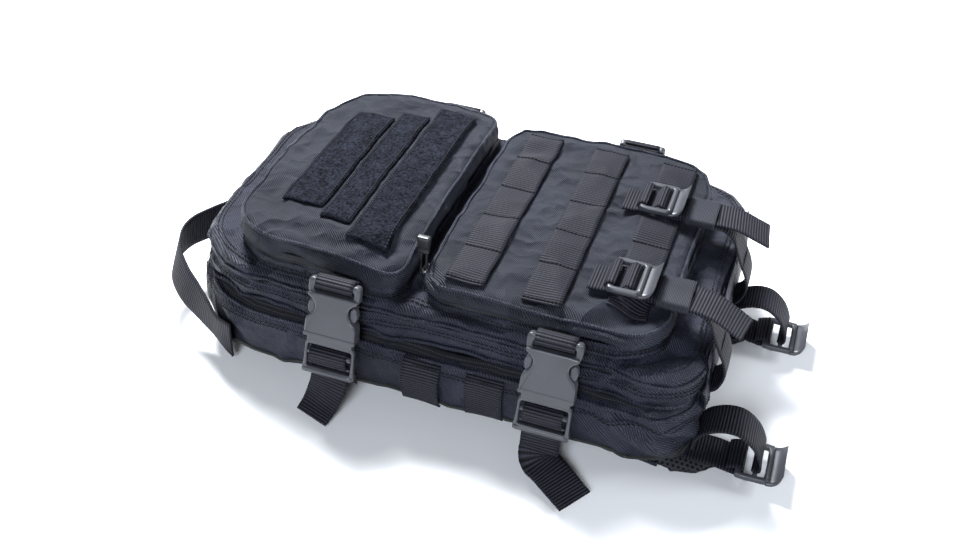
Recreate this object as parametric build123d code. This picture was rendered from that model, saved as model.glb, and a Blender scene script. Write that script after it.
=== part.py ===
"""A soft assault-style trauma backpack, lying on its back. Millimetres, +Z up.

+X runs from the top of the pack (grab handle) to its base (strap adjusters), +Y across it, and +Z from the
back panel out through the front pockets. The origin is under the middle of the whole object, on the surface
that it lies on. Every zipped layer is a real opening shell: the layer above it is its lid.
"""

from build123d import *
import math
import os

# ---- driving dimensions -------------------------------------------------------------------------------
pack_length = 360.0  # top end to base end of the main shell
pack_width = 235.0
handle_reach = 24.0  # grab handle beyond the top end
harness_reach = 60.0  # strap adjusters beyond the base end
webbing = 25.0  # width of every webbing
webbing_t = 1.6
fabric_t = 2.6  # lined fabric wall of a compartment
pocket_wall = 2.2
gap = 0.4  # between pieces that move past each other
seat = 0.1  # between pieces that are sewn flat on each other

harness_t = 7.0  # compressed shoulder strap
back_pad_t = 5.0
main_depth = 40.0
zip_h = 3.0  # height of a closed zip, tapes and teeth
zip_w = 4.0
middle_depth = 16.0
front_panel_t = 6.0
upper_gusset_h, upper_lid_h, upper_crown = 10.0, 15.0, 9.0
lower_gusset_h, lower_lid_h, lower_crown = 8.0, 11.0, 7.0

# ---- levels, from the surface up ----------------------------------------------------------------------
z_back = harness_t
z_main = z_back + back_pad_t
z_main_zip = z_main + main_depth
z_middle = z_main_zip + zip_h
z_middle_zip = z_middle + middle_depth
z_front = z_middle_zip + zip_h
z_pockets = z_front + front_panel_t
z_upper_zip = z_pockets + upper_gusset_h
z_upper_top = z_upper_zip + zip_h + upper_lid_h
z_lower_zip = z_pockets + lower_gusset_h
z_lower_top = z_lower_zip + zip_h + lower_lid_h

# ---- lengths along the pack and half widths -----------------------------------------------------------
half_overall = (handle_reach + pack_length + harness_reach) / 2
x_top = -half_overall + handle_reach
x_base = x_top + pack_length
half_width = pack_width / 2
top_inset, base_inset, side_inset = 10.0, 4.0, 10.0  # of the middle and front layers from the main shell
x_mid_top = x_top + top_inset
x_mid_base = x_base - base_inset
half_mid = half_width - side_inset
half_pocket = half_mid - 5.0
x_upper = (x_top + 40.0, x_top + 166.0)
x_lower = (x_top + 178.0, x_base - 28.0)
upper_fold_x = x_upper[0] + 81.0  # where the upper pocket's zip ends and its front folds back
lower_fold_x = x_lower[0] + 96.0
fold_gap = 0.5
main_zip_end = x_base - 28.0
middle_zip_end = x_mid_base - 24.0

# ---- corner radii in plan, at the top end and at the base end -----------------------------------------
r_main = (68.0, 34.0)
r_mid = (64.0, 30.0)
r_upper = (46.0, 12.0)
r_lower = (22.0, 34.0)

# ---- linings and fittings inside ----------------------------------------------------------------------
frame_sheet_t = 2.0
sleeve_depth, sleeve_wall, sleeve_half = 8.0, 1.4, 84.0
back_pad_size, back_pad_y = (286.0, 74.0), 58.0
organiser_t = 2.0
elastic_w, elastic_t, elastic_rise, elastic_half = 20.0, 1.2, 3.0, 70.0
elastic_count, elastic_pitch = 4, 48.0

# ---- rows and fields sewn on the outside: distances from a pocket's or the pack's top edge -------------
side_row_at, side_row_h = (188.0, 230.0), 35.0
molle_row_at, molle_half = (15.5, 65.0, 115.0), 84.0
loop_t = 1.6
loop_fields = ((26.0, 29.0, 62.0), (58.0, 21.0, 72.0), (82.5, 28.0, 86.0))  # start, width, half length

# ---- side-release buckles -----------------------------------------------------------------------------
buckle_at = {"upper": 130.0, "lower": 272.0}  # from the pack's top edge
tail_reach = {"upper": 22.0, "lower": 38.0}  # how far each strap's tail stands out from the pack's side
lean = math.radians(17.0)  # the buckles lean out from the pack's side
socket_w, socket_l, socket_wall, buckle_t = 35.0, 38.0, 1.5, 9.6
waist_r, waist_bite = 8.4, 4.8
bar_r = 1.9
slot_l = 4.6  # clear slot for webbing beside a bar
frame_l, collar_l = 23.0, 4.0
prong_reach, prong_w, hook_l = 22.0, 3.0, 8.0
tongue_w = 5.0
wrap_r = bar_r + 0.3 + webbing_t / 2  # middle of webbing wrapped round a bar
buckle_top_z = z_front + 20.0
buckle_top_y = half_mid + 2.5 + 3.2 + wrap_r + webbing_t / 2
y_mouth = -(socket_l - bar_r)
y_frame = y_mouth - gap - collar_l
y_bar = y_frame - 8.5
y_frame_end = y_frame - frame_l
up = Vector(0, math.sin(lean), math.cos(lean))
out = Vector(0, -math.cos(lean), math.sin(lean))

# ---- ladder-locks on the shoulder straps and the lash straps ------------------------------------------
lock_l, lock_w, lock_t = 30.0, 34.0, 4.0
lock_mid = 10.4  # from the rear bar to the middle bar
lock_mid_half = 1.5
lock_slot = 5.5
lock_wrap = 3.4  # middle of webbing wrapped over the middle bar
lock_reach = lock_l - bar_r
adjuster_x, adjuster_z = x_base + harness_reach - lock_reach, 9.0
pad_t, pad_w = harness_t - gap, 50.0
pad_end_x = x_base + 22.0
harness = {  # across the pack: where each shoulder strap starts, passes the middle and ends
    "near": (-38.0, -60.0, -86.0),
    "far": (38.0, 56.0, 43.0),
}
lash_y = {"near": -62.0, "far": 30.0}
lash_x = x_lower[0] + 114.0
lash_z = z_lower_top + 8.0
under_lock = -(lock_t / 2 + gap + webbing_t / 2)  # a lash strap's tail, just under its ladder-lock
strap_z = lash_z + under_lock - gap - webbing_t
keeper_l, keeper_wall = 20.0, 0.8
keeper_gap = 3.0  # from the last webbing row to the keeper
keeper_x = x_lower[0] + molle_row_at[-1] + webbing + keeper_gap

# ---- grab handle and sewn anchors ---------------------------------------------------------------------
handle_half, handle_z = 46.0, z_main + 24.0
handle_root = 4.8  # the handle's ends stand off the top wall
root_w, root_h, root_t = 12.0, 6.0, 3.4
yoke_size = (28.0, 128.0)
wing_size, wing_y = (34.0, 40.0, 3.0), 86.0

# ---- zip sliders and their pulls ----------------------------------------------------------------------
slider_w, slider_l, slider_t, slider_lift = 6.0, 11.0, 2.8, 0.3
bridge_w, bridge_t, bridge_room, bridge_leg = 1.8, 1.4, 2.9, 2.0
bridge_l = slider_l - 1.0
cord_d, loop_half, loop_l = 1.8, 2.2, 9.0
grip_size = (6.0, 20.0, 5.0)
bridge_z = slider_lift + slider_t + bridge_room + bridge_t / 2
crossbar_z = slider_lift + slider_t + bridge_room / 2


# ---- shapes that repeat -------------------------------------------------------------------------------
def plan(x0, x1, half, r_top, r_base):
    """Plan outline of a layer, with its own corner radius at the top end and at the base end."""
    outline = Pos((x0 + x1) / 2, 0) * Rectangle(x1 - x0, 2 * half)
    outline = fillet(outline.vertices().group_by(Axis.X)[0], r_top)
    return fillet(outline.vertices().group_by(Axis.X)[-1], r_base)


def block(x0, x1, half, r_top, r_base, z0, height):
    """A straight-sided layer."""
    return Pos(0, 0, z0) * extrude(plan(x0, x1, half, r_top, r_base), height)


def tub(x0, x1, half, r_top, r_base, z0, height, wall, floor):
    """An open shell with a floor, or a ring if floor is 0."""
    outer = block(x0, x1, half, r_top, r_base, z0, height)
    return outer - block(x0 + wall, x1 - wall, half - wall, r_top - wall, r_base - wall, z0 + floor, height)


def lid(x0, x1, half, r_top, r_base, z0, height, wall, crown):
    """A shell that is open underneath, with its top edge rounded by crown."""
    outer = block(x0, x1, half, r_top, r_base, z0, height)
    inner = block(x0 + wall, x1 - wall, half - wall, r_top - wall, r_base - wall, z0, height - wall)
    inner = fillet(inner.edges().group_by(Axis.Z)[-1], crown - wall)
    return fillet(outer.edges().group_by(Axis.Z)[-1], crown) - inner


def before(x, solid):
    return solid - Pos(x + 500, 0, 0) * Box(1000, 1000, 1000)


def beyond(x, solid):
    return solid - Pos(x - 500, 0, 0) * Box(1000, 1000, 1000)


def eased(points, radii):
    """The radius of each corner of a path, held to what the corner's two runs leave room for."""
    runs = [Vector(*end) - Vector(*start) for start, end in zip(points, points[1:])]
    fitted = []
    for radius, run, following in zip(radii, runs, runs[1:]):
        room = 0.45 * min(run.length, following.length) / math.tan(math.radians(run.get_angle(following)) / 2)
        fitted.append(min(radius, room))
    return fitted


def ribbon(points, radii, width=webbing, thickness=webbing_t, plane=Plane.XZ):
    """Webbing along a flat path: the path lies in the plane, and the width runs along the plane's normal."""
    face = trace(FilletPolyline(*points, radius=eased(points, radii)), thickness)
    return plane * extrude(face, width / 2, both=True)


def wrap(radius, above=False):
    """Webbing round a bar that runs along X through the origin: the whole loop, or only its +Y half."""
    ring = Cylinder(radius + webbing_t / 2, webbing) - Cylinder(radius - webbing_t / 2, webbing + 1)
    if above:
        ring -= Pos(0, -10, 0) * Box(40, 20, 40)
    return Rot(0, 90, 0) * ring


def both_sides(solid):
    """The near piece and its mirror image on the far side."""
    return [solid, mirror(solid, Plane.XZ)]


def patch(start, width, half, z0, thickness):
    """A flat piece across the pack, sewn on a level surface."""
    return Pos(start + width / 2, 0, z0 + thickness / 2) * Box(width, 2 * half, thickness)


# ---- main compartment ---------------------------------------------------------------------------------
def main_section():
    shell = tub(x_top, x_base, half_width, *r_main, z_main, main_depth, fabric_t, fabric_t)
    rim = block(x_top, x_base, half_width, *r_main, z_main_zip - fabric_t, fabric_t)
    mouth_r = [r - zip_w for r in r_mid]
    mouth = block(x_mid_top + zip_w, x_mid_base - zip_w, half_mid - zip_w, *mouth_r, 0, 200)
    shell = fillet((shell + (rim - mouth)).edges().group_by(Axis.Z)[0], 2.0)
    pads = []
    for s in (-1, 1):
        middle = (x_top + x_base) / 2
        pad = Pos(middle, s * back_pad_y, z_back + back_pad_t / 2) * Box(*back_pad_size, back_pad_t)
        pads.append(fillet(pad.edges().filter_by(Axis.Z), 14.0))
    z_sheet = z_main + fabric_t
    z_sleeve = z_sheet + frame_sheet_t
    sleeve = lid(x_top + 30, x_base - 110, sleeve_half, 30, 12, z_sleeve, sleeve_depth, sleeve_wall, 3.0)
    rows = [Pos(x_top + at, s * (half_width + webbing_t / 2), z_main + main_depth / 2)
            * Box(webbing, webbing_t, side_row_h) for at in side_row_at for s in (-1, 1)]
    track = tub(x_mid_top, x_mid_base, half_mid, *r_mid, z_main_zip, zip_h - gap, zip_w, 0)
    return {
        "main_shell": shell,
        "back_pads": pads,
        "frame_sheet": block(x_top + 12, x_base - 12, half_width - 12, 56, 24, z_sheet, frame_sheet_t),
        "hydration_sleeve": beyond(x_top + 64, sleeve),
        "side_webbing": rows,
        "main_zip_track": before(main_zip_end, track),
    }


# ---- middle compartment -------------------------------------------------------------------------------
def middle_section():
    z_panel = z_middle + fabric_t
    loops = []
    for i in range(elastic_count):
        profile = [(-elastic_half, 0), (8 - elastic_half, elastic_rise),
                   (elastic_half - 8, elastic_rise), (elastic_half, 0)]
        strip = ribbon(profile, [2.0, 2.0], elastic_w, elastic_t, Plane.YZ)
        x = x_mid_top + 70 + i * elastic_pitch
        loops.append(Pos(x, 0, z_panel + organiser_t + elastic_t + seat) * strip)
    shell = tub(x_mid_top, x_mid_base, half_mid, *r_mid, z_middle, middle_depth, fabric_t, fabric_t)
    panel = block(x_mid_top + 40, x_mid_base - 60, half_mid - 24, 20, 20, z_panel, organiser_t)
    track = tub(x_mid_top, x_mid_base, half_mid, *r_mid, z_middle_zip, zip_h - gap, zip_w, 0)
    return {
        "middle_shell": shell,
        "organiser_panel": panel,
        "elastic_loops": loops,
        "middle_zip_track": before(middle_zip_end, track),
    }


# ---- front panel and its two pockets ------------------------------------------------------------------
def pocket(name, xs, radii, fold_x, gusset_h, lid_h, crown):
    """A zipped pocket: a gusset on the front panel, and a front that folds back where the zip ends."""
    z_zip = z_pockets + gusset_h
    front = lid(*xs, half_pocket, *radii, z_zip + zip_h, lid_h, pocket_wall, crown)
    track = tub(*xs, half_pocket, *radii, z_zip, zip_h - gap, pocket_wall, 0)
    sewn = tub(*xs, half_pocket, *radii, z_zip, zip_h, pocket_wall, 0)
    return {
        name + "_pocket_zip_track": before(fold_x, track),
        name + "_pocket_flap": before(fold_x, front),
        name + "_pocket_base": beyond(fold_x + fold_gap, front + sewn),
    }


def front_section():
    panel = block(x_mid_top, x_mid_base, half_mid, *r_mid, z_front, front_panel_t)
    nodes = {"front_panel": fillet(panel.edges().group_by(Axis.Z)[-1], 2.5)}
    nodes |= pocket("upper", x_upper, r_upper, upper_fold_x, upper_gusset_h, upper_lid_h, upper_crown)
    nodes |= pocket("lower", x_lower, r_lower, lower_fold_x, lower_gusset_h, lower_lid_h, lower_crown)
    gussets = ((x_upper, r_upper, upper_gusset_h), (x_lower, r_lower, lower_gusset_h))
    nodes["pocket_gussets"] = [tub(*xs, half_pocket, *radii, z_pockets, height, pocket_wall, 0)
                               for xs, radii, height in gussets]
    fields = [patch(x_upper[0] + at, width, half, z_upper_top, loop_t) for at, width, half in loop_fields]
    rows = [patch(x_lower[0] + at, webbing, molle_half, z_lower_top, webbing_t) for at in molle_row_at]
    nodes["flap_loop_fields"], nodes["base_loop_field"] = fields[:2], fields[2]
    nodes["flap_webbing_rows"], nodes["base_webbing_row"] = rows[:2], rows[2]
    return nodes


# ---- side-release buckles and compression straps ------------------------------------------------------
def socket():
    """Female half: a hollow body open at its mouth, with a waist, and a bar for its sewn webbing."""
    top = -(bar_r + slot_l)
    length = top - y_mouth
    body = Pos(0, (top + y_mouth) / 2, 0) * Box(socket_w, length, buckle_t)
    body = fillet(body.edges().filter_by(Axis.Y), 3.0)
    for s in (-1, 1):
        body -= Pos(s * (socket_w / 2 - waist_bite + waist_r), top - 9.5, 0) * Cylinder(waist_r, buckle_t + 1)
    room_w, room_t = socket_w - 2 * socket_wall, buckle_t - 2 * socket_wall
    body -= Pos(0, (top + y_mouth) / 2 - 3, 0) * Box(room_w, length, room_t)
    sides = Pos(0, top / 2, 0) * Box(socket_w - 2, -top + 2, 2 * bar_r)
    sides -= Pos(0, top / 2 + 5, 0) * Box(webbing + 1.6, -top + 10, 20)
    return body + sides + Rot(0, 90, 0) * Cylinder(bar_r, socket_w - 2)


def plug():
    """Male half, pushed home: two sprung prongs, a guide tongue, and a ladder frame for the webbing."""
    inside_w = socket_w - 2 * socket_wall - 2 * gap
    inside_t = buckle_t - 2 * socket_wall - 2 * gap
    middle = y_mouth + prong_reach / 2 - 1
    solid = Pos(0, middle, 0) * Box(tongue_w, prong_reach, inside_t)
    for s in (-1, 1):
        solid += Pos(s * (inside_w / 2 - 5.5), middle, 0) * Box(prong_w, prong_reach, inside_t)
        y_hook = y_mouth + prong_reach - 1 - hook_l / 2
        hook = Pos(s * (inside_w / 2 - 3.5), y_hook, 0) * Box(6.6, hook_l, inside_t)
        solid += fillet(hook.edges().filter_by(Axis.Z), 1.2)
    solid += Pos(0, y_frame + collar_l / 2, 0) * Box(socket_w, collar_l, buckle_t - 1.0)
    ladder = Pos(0, y_frame - frame_l / 2, 0) * Box(socket_w, frame_l, 2 * bar_r)
    ladder = fillet(ladder.edges().filter_by(Axis.Z), 2.0)
    ladder -= Pos(0, y_frame - frame_l / 2 + 0.6, 0) * Box(webbing + 1.4, frame_l - 5, 20)
    solid += ladder + Pos(0, y_frame - 1, 0) * Box(socket_w, 2, 2 * bar_r)
    return solid + Pos(0, y_bar, 0) * Rot(0, 90, 0) * Cylinder(bar_r, webbing + 3)


def local(y, z):
    """A point of the near side's YZ plane in a buckle's own frame."""
    dy, dz = y + buckle_top_y, z - buckle_top_z
    return (dy * up.Y + dz * up.Z, dy * out.Y + dz * out.Z)


def strap_run():
    """Webbing from its sewn end low on the pack's side, up behind the ladder frame to the plug's bar."""
    wall_y = -(half_width + webbing_t / 2 + seat)
    behind = -(wrap_r + webbing_t + 0.3)
    path = [local(wall_y, z_main + 3), local(wall_y, z_main + 11), (y_frame_end - 8, behind - 3),
            (y_frame_end, behind), (y_bar - 7, behind), (y_bar - gap, -wrap_r)]
    return ribbon(path, [3.0, 6.0, 8.0, 1.5], plane=Plane.YZ)


def strap_tail(level):
    """Webbing over the plug's bar, back behind the frame's end, and down towards the ground."""
    end = local(-(half_width + tail_reach[level]), 2.2)
    path = [(y_bar, wrap_r), (y_bar - 2, wrap_r), (y_frame_end + 4.4, -wrap_r)]
    path += [(y_frame_end - 10, -wrap_r), end]
    return Pos(0, y_bar, 0) * wrap(wrap_r, above=True) + ribbon(path, [1.5, 1.6, 5.0], plane=Plane.YZ)


def front_tab():
    """Webbing sewn to the edge of the front panel, reaching out to the buckle's own loop."""
    inner = half_pocket + 0.4
    level = z_pockets + webbing_t / 2 + seat
    path = [(-inner, level), (-(inner + 3.2), level), (-(half_mid + 1.9), buckle_top_z - 2)]
    return ribbon(path, [2.0], plane=Plane.YZ)


def buckles():
    nodes = {"buckle_sockets": [], "socket_strap_loops": [], "compression_straps": [], "front_tabs": []}
    for level, at in buckle_at.items():
        x = x_top + at
        place = Location(Plane(origin=(x, -buckle_top_y, buckle_top_z), x_dir=(1, 0, 0), z_dir=out))
        nodes["buckle_sockets"] += both_sides(place * socket())
        nodes["socket_strap_loops"] += both_sides(place * wrap(wrap_r))
        nodes["compression_straps"] += both_sides(place * strap_run())
        nodes["front_tabs"] += both_sides(Pos(x, 0, 0) * front_tab())
        plugs, tails = both_sides(place * plug()), both_sides(place * strap_tail(level))
        for where, male, tail in zip(("near", "far"), plugs, tails):
            nodes[f"{level}_{where}_plug"] = male
            nodes[f"{level}_{where}_tail"] = tail
    return nodes


# ---- shoulder harness ---------------------------------------------------------------------------------
def ladder_lock():
    """Rear bar along Y through the origin, a middle bar for the webbing, and a lift tab at the +X end."""
    frame = Pos(lock_l / 2 - bar_r, 0, 0) * Box(lock_l, lock_w, lock_t)
    frame = fillet(frame.edges().filter_by(Axis.Z), 3.0)
    rear = lock_mid - lock_mid_half
    front = lock_mid + lock_mid_half
    frame -= Pos(rear / 2 - 5, 0, 0) * Box(rear + 10, webbing + 1.6, 20)
    frame -= Pos(front + lock_slot / 2, 0, 0) * Box(lock_slot, webbing + 1.6, 20)
    path = FilletPolyline((front + lock_slot + 2, 0), (lock_reach - 4, 1.6), (lock_reach - 1.6, 8), radius=2.0)
    tab = Plane.XZ * extrude(trace(path, 2.4), lock_w / 2 - 3, both=True)
    return frame + tab + Rot(90, 0, 0) * Cylinder(bar_r, lock_w - 2)


def strap_pad(ys):
    end_x = pad_end_x - pad_w / 2
    points = [(x_top + 26, ys[0]), (x_top + 120, ys[1]), (end_x, ys[2])]
    shape = trace(FilletPolyline(*points, radius=60.0), pad_w) + Pos(end_x, ys[2]) * Circle(pad_w / 2)
    return extrude(shape, pad_t)


def pad_link(y):
    """Webbing from the top of the pad round the ladder-lock's rear bar."""
    top = pad_t + webbing_t / 2 + seat
    low = adjuster_z - wrap_r
    path = [(pad_end_x - 18, top), (pad_end_x + 1, top), (adjuster_x - 4, low), (adjuster_x, low)]
    eye = Pos(adjuster_x, 0, adjuster_z) * Rot(0, 0, 90) * wrap(wrap_r)
    return Pos(0, y, 0) * (ribbon(path, [3.0, 3.0]) + eye)


def lower_webbing(y):
    """Slack webbing in an arch from the pack's lower corner to the ladder-lock's middle bar."""
    x_wall = x_base + webbing_t / 2 + seat
    x_end = adjuster_x + lock_mid + lock_wrap
    path = [(x_wall, z_main + 2), (x_wall + 3, z_main + 16), (x_wall + 29, z_main + 24), (x_end, adjuster_z + 3)]
    return Pos(0, y, 0) * ribbon(path, [10.0, 10.0])


def harness_section():
    yoke = Pos(x_top + 22, 0, z_back + back_pad_t / 2) * Box(*yoke_size, back_pad_t)
    wing = Pos(x_base - wing_size[0] / 2, 0, z_main - wing_size[2] / 2) * Box(*wing_size)
    wings = [Pos(0, s * wing_y, 0) * wing for s in (-1, 1)]
    roots = [Pos(x_top - root_t / 2, s * handle_half, handle_z) * Box(root_t, root_w, root_h) for s in (-1, 1)]
    nodes = {
        "sewn_anchors": [fillet(yoke.edges().filter_by(Axis.Z), 8.0)] + wings + roots,
        "lower_webbing": [lower_webbing(ys[-1]) for ys in harness.values()],
    }
    for where, ys in harness.items():
        nodes[where + "_strap_pad"] = strap_pad(ys)
        nodes[where + "_strap_link"] = pad_link(ys[-1])
        nodes[where + "_adjuster"] = Pos(adjuster_x, ys[-1], adjuster_z) * ladder_lock()
    return nodes


def grab_handle():
    x_near, x_far = x_top - handle_root, x_top - handle_reach + webbing_t / 2
    path = [(x_near, -handle_half), (x_far, -handle_half + 10), (x_far, handle_half - 10), (x_near, handle_half)]
    return {"grab_handle": Pos(0, 0, handle_z) * ribbon(path, [11.0, 11.0], plane=Plane.XY)}


# ---- lash straps over the base ------------------------------------------------------------------------
def lash_anchor():
    """Webbing sewn to the lower pocket, round the rear bar."""
    low = lash_z - wrap_r
    sewn = z_lower_top + webbing_t / 2 + seat
    path = [(lash_x, low), (lash_x - 3.5, low), (lash_x - 10, sewn), (lash_x - 15.5, sewn)]
    return Pos(lash_x, 0, lash_z) * Rot(0, 0, 90) * wrap(wrap_r) + ribbon(path, [3.0, 3.0])


def lash_tail():
    """Webbing over the middle bar and out under the lift tab, then down past the base, in the lock's frame."""
    x_down = lock_mid + lock_wrap
    x_edge = x_mid_base - lash_x - 5
    path = [(x_down, 0.2), (x_down, under_lock), (x_edge, under_lock), (x_edge + 25, under_lock - 19)]
    over = Pos(lock_mid, 0, 0) * Rot(0, 0, 90) * Rot(90, 0, 0) * wrap(lock_wrap, above=True)
    return over + ribbon(path, [1.2, 12.0])


def lash_keeper():
    """Elastic band round the tail and the strap below it."""
    inner_h = 2 * webbing_t + 3 * gap
    middle_z = under_lock - (gap + webbing_t) / 2
    band = Box(keeper_l, webbing + 1.2 + 2 * keeper_wall, inner_h + 2 * keeper_wall)
    return Pos(keeper_x - lash_x + keeper_l / 2, 0, middle_z) * (band - Box(keeper_l + 1, webbing + 1.2, inner_h))


def lash_strap():
    """Webbing from under the ladder-lock over the base to its sewn end on the main shell."""
    x_wall = x_base + webbing_t / 2 + seat
    x_bend = keeper_x + keeper_l + 7
    path = [(lash_x + lock_mid, strap_z), (x_bend, strap_z), (x_wall + 4, 84), (x_wall + 10, 64),
            (x_wall + 7, 52), (x_wall, z_main_zip - 5), (x_wall, z_main_zip - 10.5)]
    return ribbon(path, [12.0, 20.0, 12.0, 7.0, 3.0])


def lash_section():
    nodes = {"lash_straps": [Pos(0, y, 0) * lash_strap() for y in lash_y.values()]}
    for where, y in lash_y.items():
        place = Pos(lash_x, y, lash_z)
        nodes[where + "_lash_lock"] = place * ladder_lock()
        nodes[where + "_lash_tail"] = place * lash_tail()
        nodes[where + "_lash_keeper"] = place * lash_keeper()
    return nodes


# ---- zip sliders --------------------------------------------------------------------------------------
def slider():
    """Body on the zip's face (Z = 0), running along Y, with a bridge for the pull's cord."""
    body = Pos(0, 0, slider_lift + slider_t / 2) * Box(slider_w, slider_l, slider_t)
    body = fillet(body.edges().filter_by(Axis.Z), 1.5)
    height = slider_t + bridge_room + bridge_t
    bridge = Pos(0, 0, slider_lift + height / 2) * Box(bridge_w, bridge_l, height)
    hole = Pos(0, 0, crossbar_z) * Box(bridge_w + 1, bridge_l - 2 * bridge_leg, bridge_room)
    return body + (bridge - hole)


def pull():
    """Cord loop through the bridge, its near end at the origin, and a moulded grip towards -Y."""
    outer = SlotOverall(loop_l, 2 * loop_half + cord_d)
    inner = SlotOverall(loop_l - 2 * cord_d, 2 * loop_half - cord_d)
    loop = extrude(outer - inner, cord_d / 2, both=True)
    grip = Box(*grip_size)
    grip = fillet(grip.edges(), 1.5)
    cord = Pos(0, cord_d / 2 - loop_l / 2, 0) * Rot(0, 0, 90) * loop
    return cord + Pos(0, -loop_l + 2 - grip_size[1] / 2, 0) * grip


def sliders():
    """Each slider at the end of its closed zip, facing out, with its pull lying or standing as it does."""
    outwards, across = (-1, 0, 0), (0, 1, 0)
    above_rim = z_main_zip + gap + slider_w / 2
    below_flap = slider_w / 2 + 0.2 - zip_h
    places = {
        "main_near": Plane(origin=(x_mid_top, 4, above_rim), x_dir=(0, 0, 1), z_dir=outwards),
        "main_far": Plane(origin=(x_mid_top, 17, above_rim), x_dir=(0, 0, -1), z_dir=outwards),
        "middle": Plane(origin=(x_top + 200, half_mid, z_middle_zip + zip_h / 2), x_dir=(0, 0, 1), z_dir=across),
        "upper": Plane(origin=(x_upper[0], 20, z_upper_zip - below_flap), x_dir=(0, 0, 1), z_dir=outwards),
        "lower": Plane(origin=(x_lower[0], -74, z_lower_zip - below_flap), x_dir=(0, 0, 1), z_dir=outwards),
    }
    nodes = {}
    for name, plane in places.items():
        lying = Pos(0, 0, crossbar_z)
        standing = Pos(-loop_half, 0, bridge_z) * Rot(90, 0, 90)
        nodes[name + "_slider"] = Location(plane) * slider()
        nodes[name + "_pull"] = Location(plane) * (standing if name == "lower" else lying) * pull()
    return nodes


# ---- every node, one STEP file each -------------------------------------------------------------------
nodes = main_section() | middle_section() | front_section() | buckles() | harness_section()
nodes |= grab_handle() | lash_section() | sliders()
nodes["front_tabs"] += [Pos(0, y, 0) * lash_anchor() for y in lash_y.values()]
os.makedirs("parts", exist_ok=True)
for name, solid in nodes.items():
    if isinstance(solid, list):
        solid = Compound(children=solid)
    export_step(solid, f"parts/{name}.step")
print(len(nodes), "nodes")
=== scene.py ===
# %% [markdown]
# A soft medical backpack in black nylon, lying on its back. The imported model is the frame: many
# pieces below are placed from a frame node's own box, so they need no fitting, and most ride on the
# body that carries them; those that cross a joint or fold ride on none. The heavier webbing is 25 mm
# wide all over the pack, so that width and its thickness have names.

# %% Load the frame
import bmesh
import bpy
import math
from mathutils import Matrix, Vector, noise


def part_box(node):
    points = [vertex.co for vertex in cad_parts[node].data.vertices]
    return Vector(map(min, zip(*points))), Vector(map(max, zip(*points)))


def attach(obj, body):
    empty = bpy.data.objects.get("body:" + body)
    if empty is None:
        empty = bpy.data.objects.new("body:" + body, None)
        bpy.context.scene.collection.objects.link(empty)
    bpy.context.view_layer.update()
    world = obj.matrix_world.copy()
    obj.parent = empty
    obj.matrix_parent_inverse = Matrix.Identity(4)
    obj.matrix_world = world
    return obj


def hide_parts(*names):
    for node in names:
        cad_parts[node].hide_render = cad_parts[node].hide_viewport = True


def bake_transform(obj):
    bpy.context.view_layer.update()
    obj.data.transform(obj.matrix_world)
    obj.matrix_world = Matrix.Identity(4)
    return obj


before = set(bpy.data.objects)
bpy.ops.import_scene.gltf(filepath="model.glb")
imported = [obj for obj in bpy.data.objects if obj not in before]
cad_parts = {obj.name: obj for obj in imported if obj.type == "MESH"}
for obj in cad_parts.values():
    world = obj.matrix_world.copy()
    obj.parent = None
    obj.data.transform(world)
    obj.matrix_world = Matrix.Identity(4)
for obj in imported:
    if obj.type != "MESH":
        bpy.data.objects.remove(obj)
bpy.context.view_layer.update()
MM = 0.001
WEB = 25 * MM
WEB_THICK = 1.4 * MM


# %% [markdown]
# The camera looks down on the near side from past the base, a little rolled, through a normal lens.
# The floor is plain and pale, and wide soft lights above and to the left give black fabric its
# long, low highlights.

# %% Camera, floor and lights
def look(azimuth, elevation, roll, place, lens):
    """A camera whose back points at (azimuth, elevation), in degrees, from the object."""
    a, e, r = (math.radians(v) for v in (azimuth, elevation, roll))
    back = Vector((math.sin(a) * math.cos(e), -math.cos(a) * math.cos(e), math.sin(e)))
    right = Vector((math.cos(a), math.sin(a), 0))
    above = back.cross(right)
    axes = (math.cos(r) * right + math.sin(r) * above, math.cos(r) * above - math.sin(r) * right, back)
    data = bpy.data.cameras.new("camera")
    data.lens = lens
    data.sensor_width = 36
    data.clip_start = 0.01
    camera = bpy.data.objects.new("camera", data)
    bpy.context.collection.objects.link(camera)
    camera.matrix_world = Matrix.Translation(place) @ Matrix(axes).transposed().to_4x4()
    return camera


bpy.context.scene.camera = look(16.7755, 38.1377, 3.2156, (0.1743, -0.5949, 0.5225), 40.425)


def lamp(name, place, target, size, watts, colour=(1, 1, 1)):
    data = bpy.data.lights.new(name, "AREA")
    data.size = size
    data.energy = watts
    data.color = colour
    light = bpy.data.objects.new(name, data)
    bpy.context.collection.objects.link(light)
    light.location = place
    light.rotation_euler = (Vector(target) - Vector(place)).to_track_quat("-Z", "Y").to_euler()
    return light


lamp("key_light", (-0.5, 0.55, 1.05), (0, 0, 0.05), 0.35, 52, (0.94, 0.965, 1.0))
lamp("front_light", (0.1, -1.3, 0.9), (0, 0, 0.05), 0.45, 17, (0.84, 0.9, 1.0))
lamp("base_light", (1.2, 0.3, 0.6), (0.1, 0, 0.05), 0.4, 10, (0.88, 0.93, 1.0))

world = bpy.data.worlds.new("studio")
bpy.context.scene.world = world
world.use_nodes = True
world.node_tree.nodes["Background"].inputs["Color"].default_value = (1, 1, 1, 1)
world.node_tree.nodes["Background"].inputs["Strength"].default_value = 0.12
bpy.context.scene.view_settings.view_transform = "Standard"

bm = bmesh.new()
bmesh.ops.create_grid(bm, x_segments=1, y_segments=1, size=4.0)
floor_mesh = bpy.data.meshes.new("floor")
bm.to_mesh(floor_mesh)
bm.free()
floor = bpy.data.objects.new("floor", floor_mesh)
bpy.context.collection.objects.link(floor)


# %% [markdown]
# Shader maths reads best as sums, so one small class wraps a socket and turns operators into Math
# nodes. A second class holds a material: it makes any node in one call and hands its output back
# wrapped.

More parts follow.
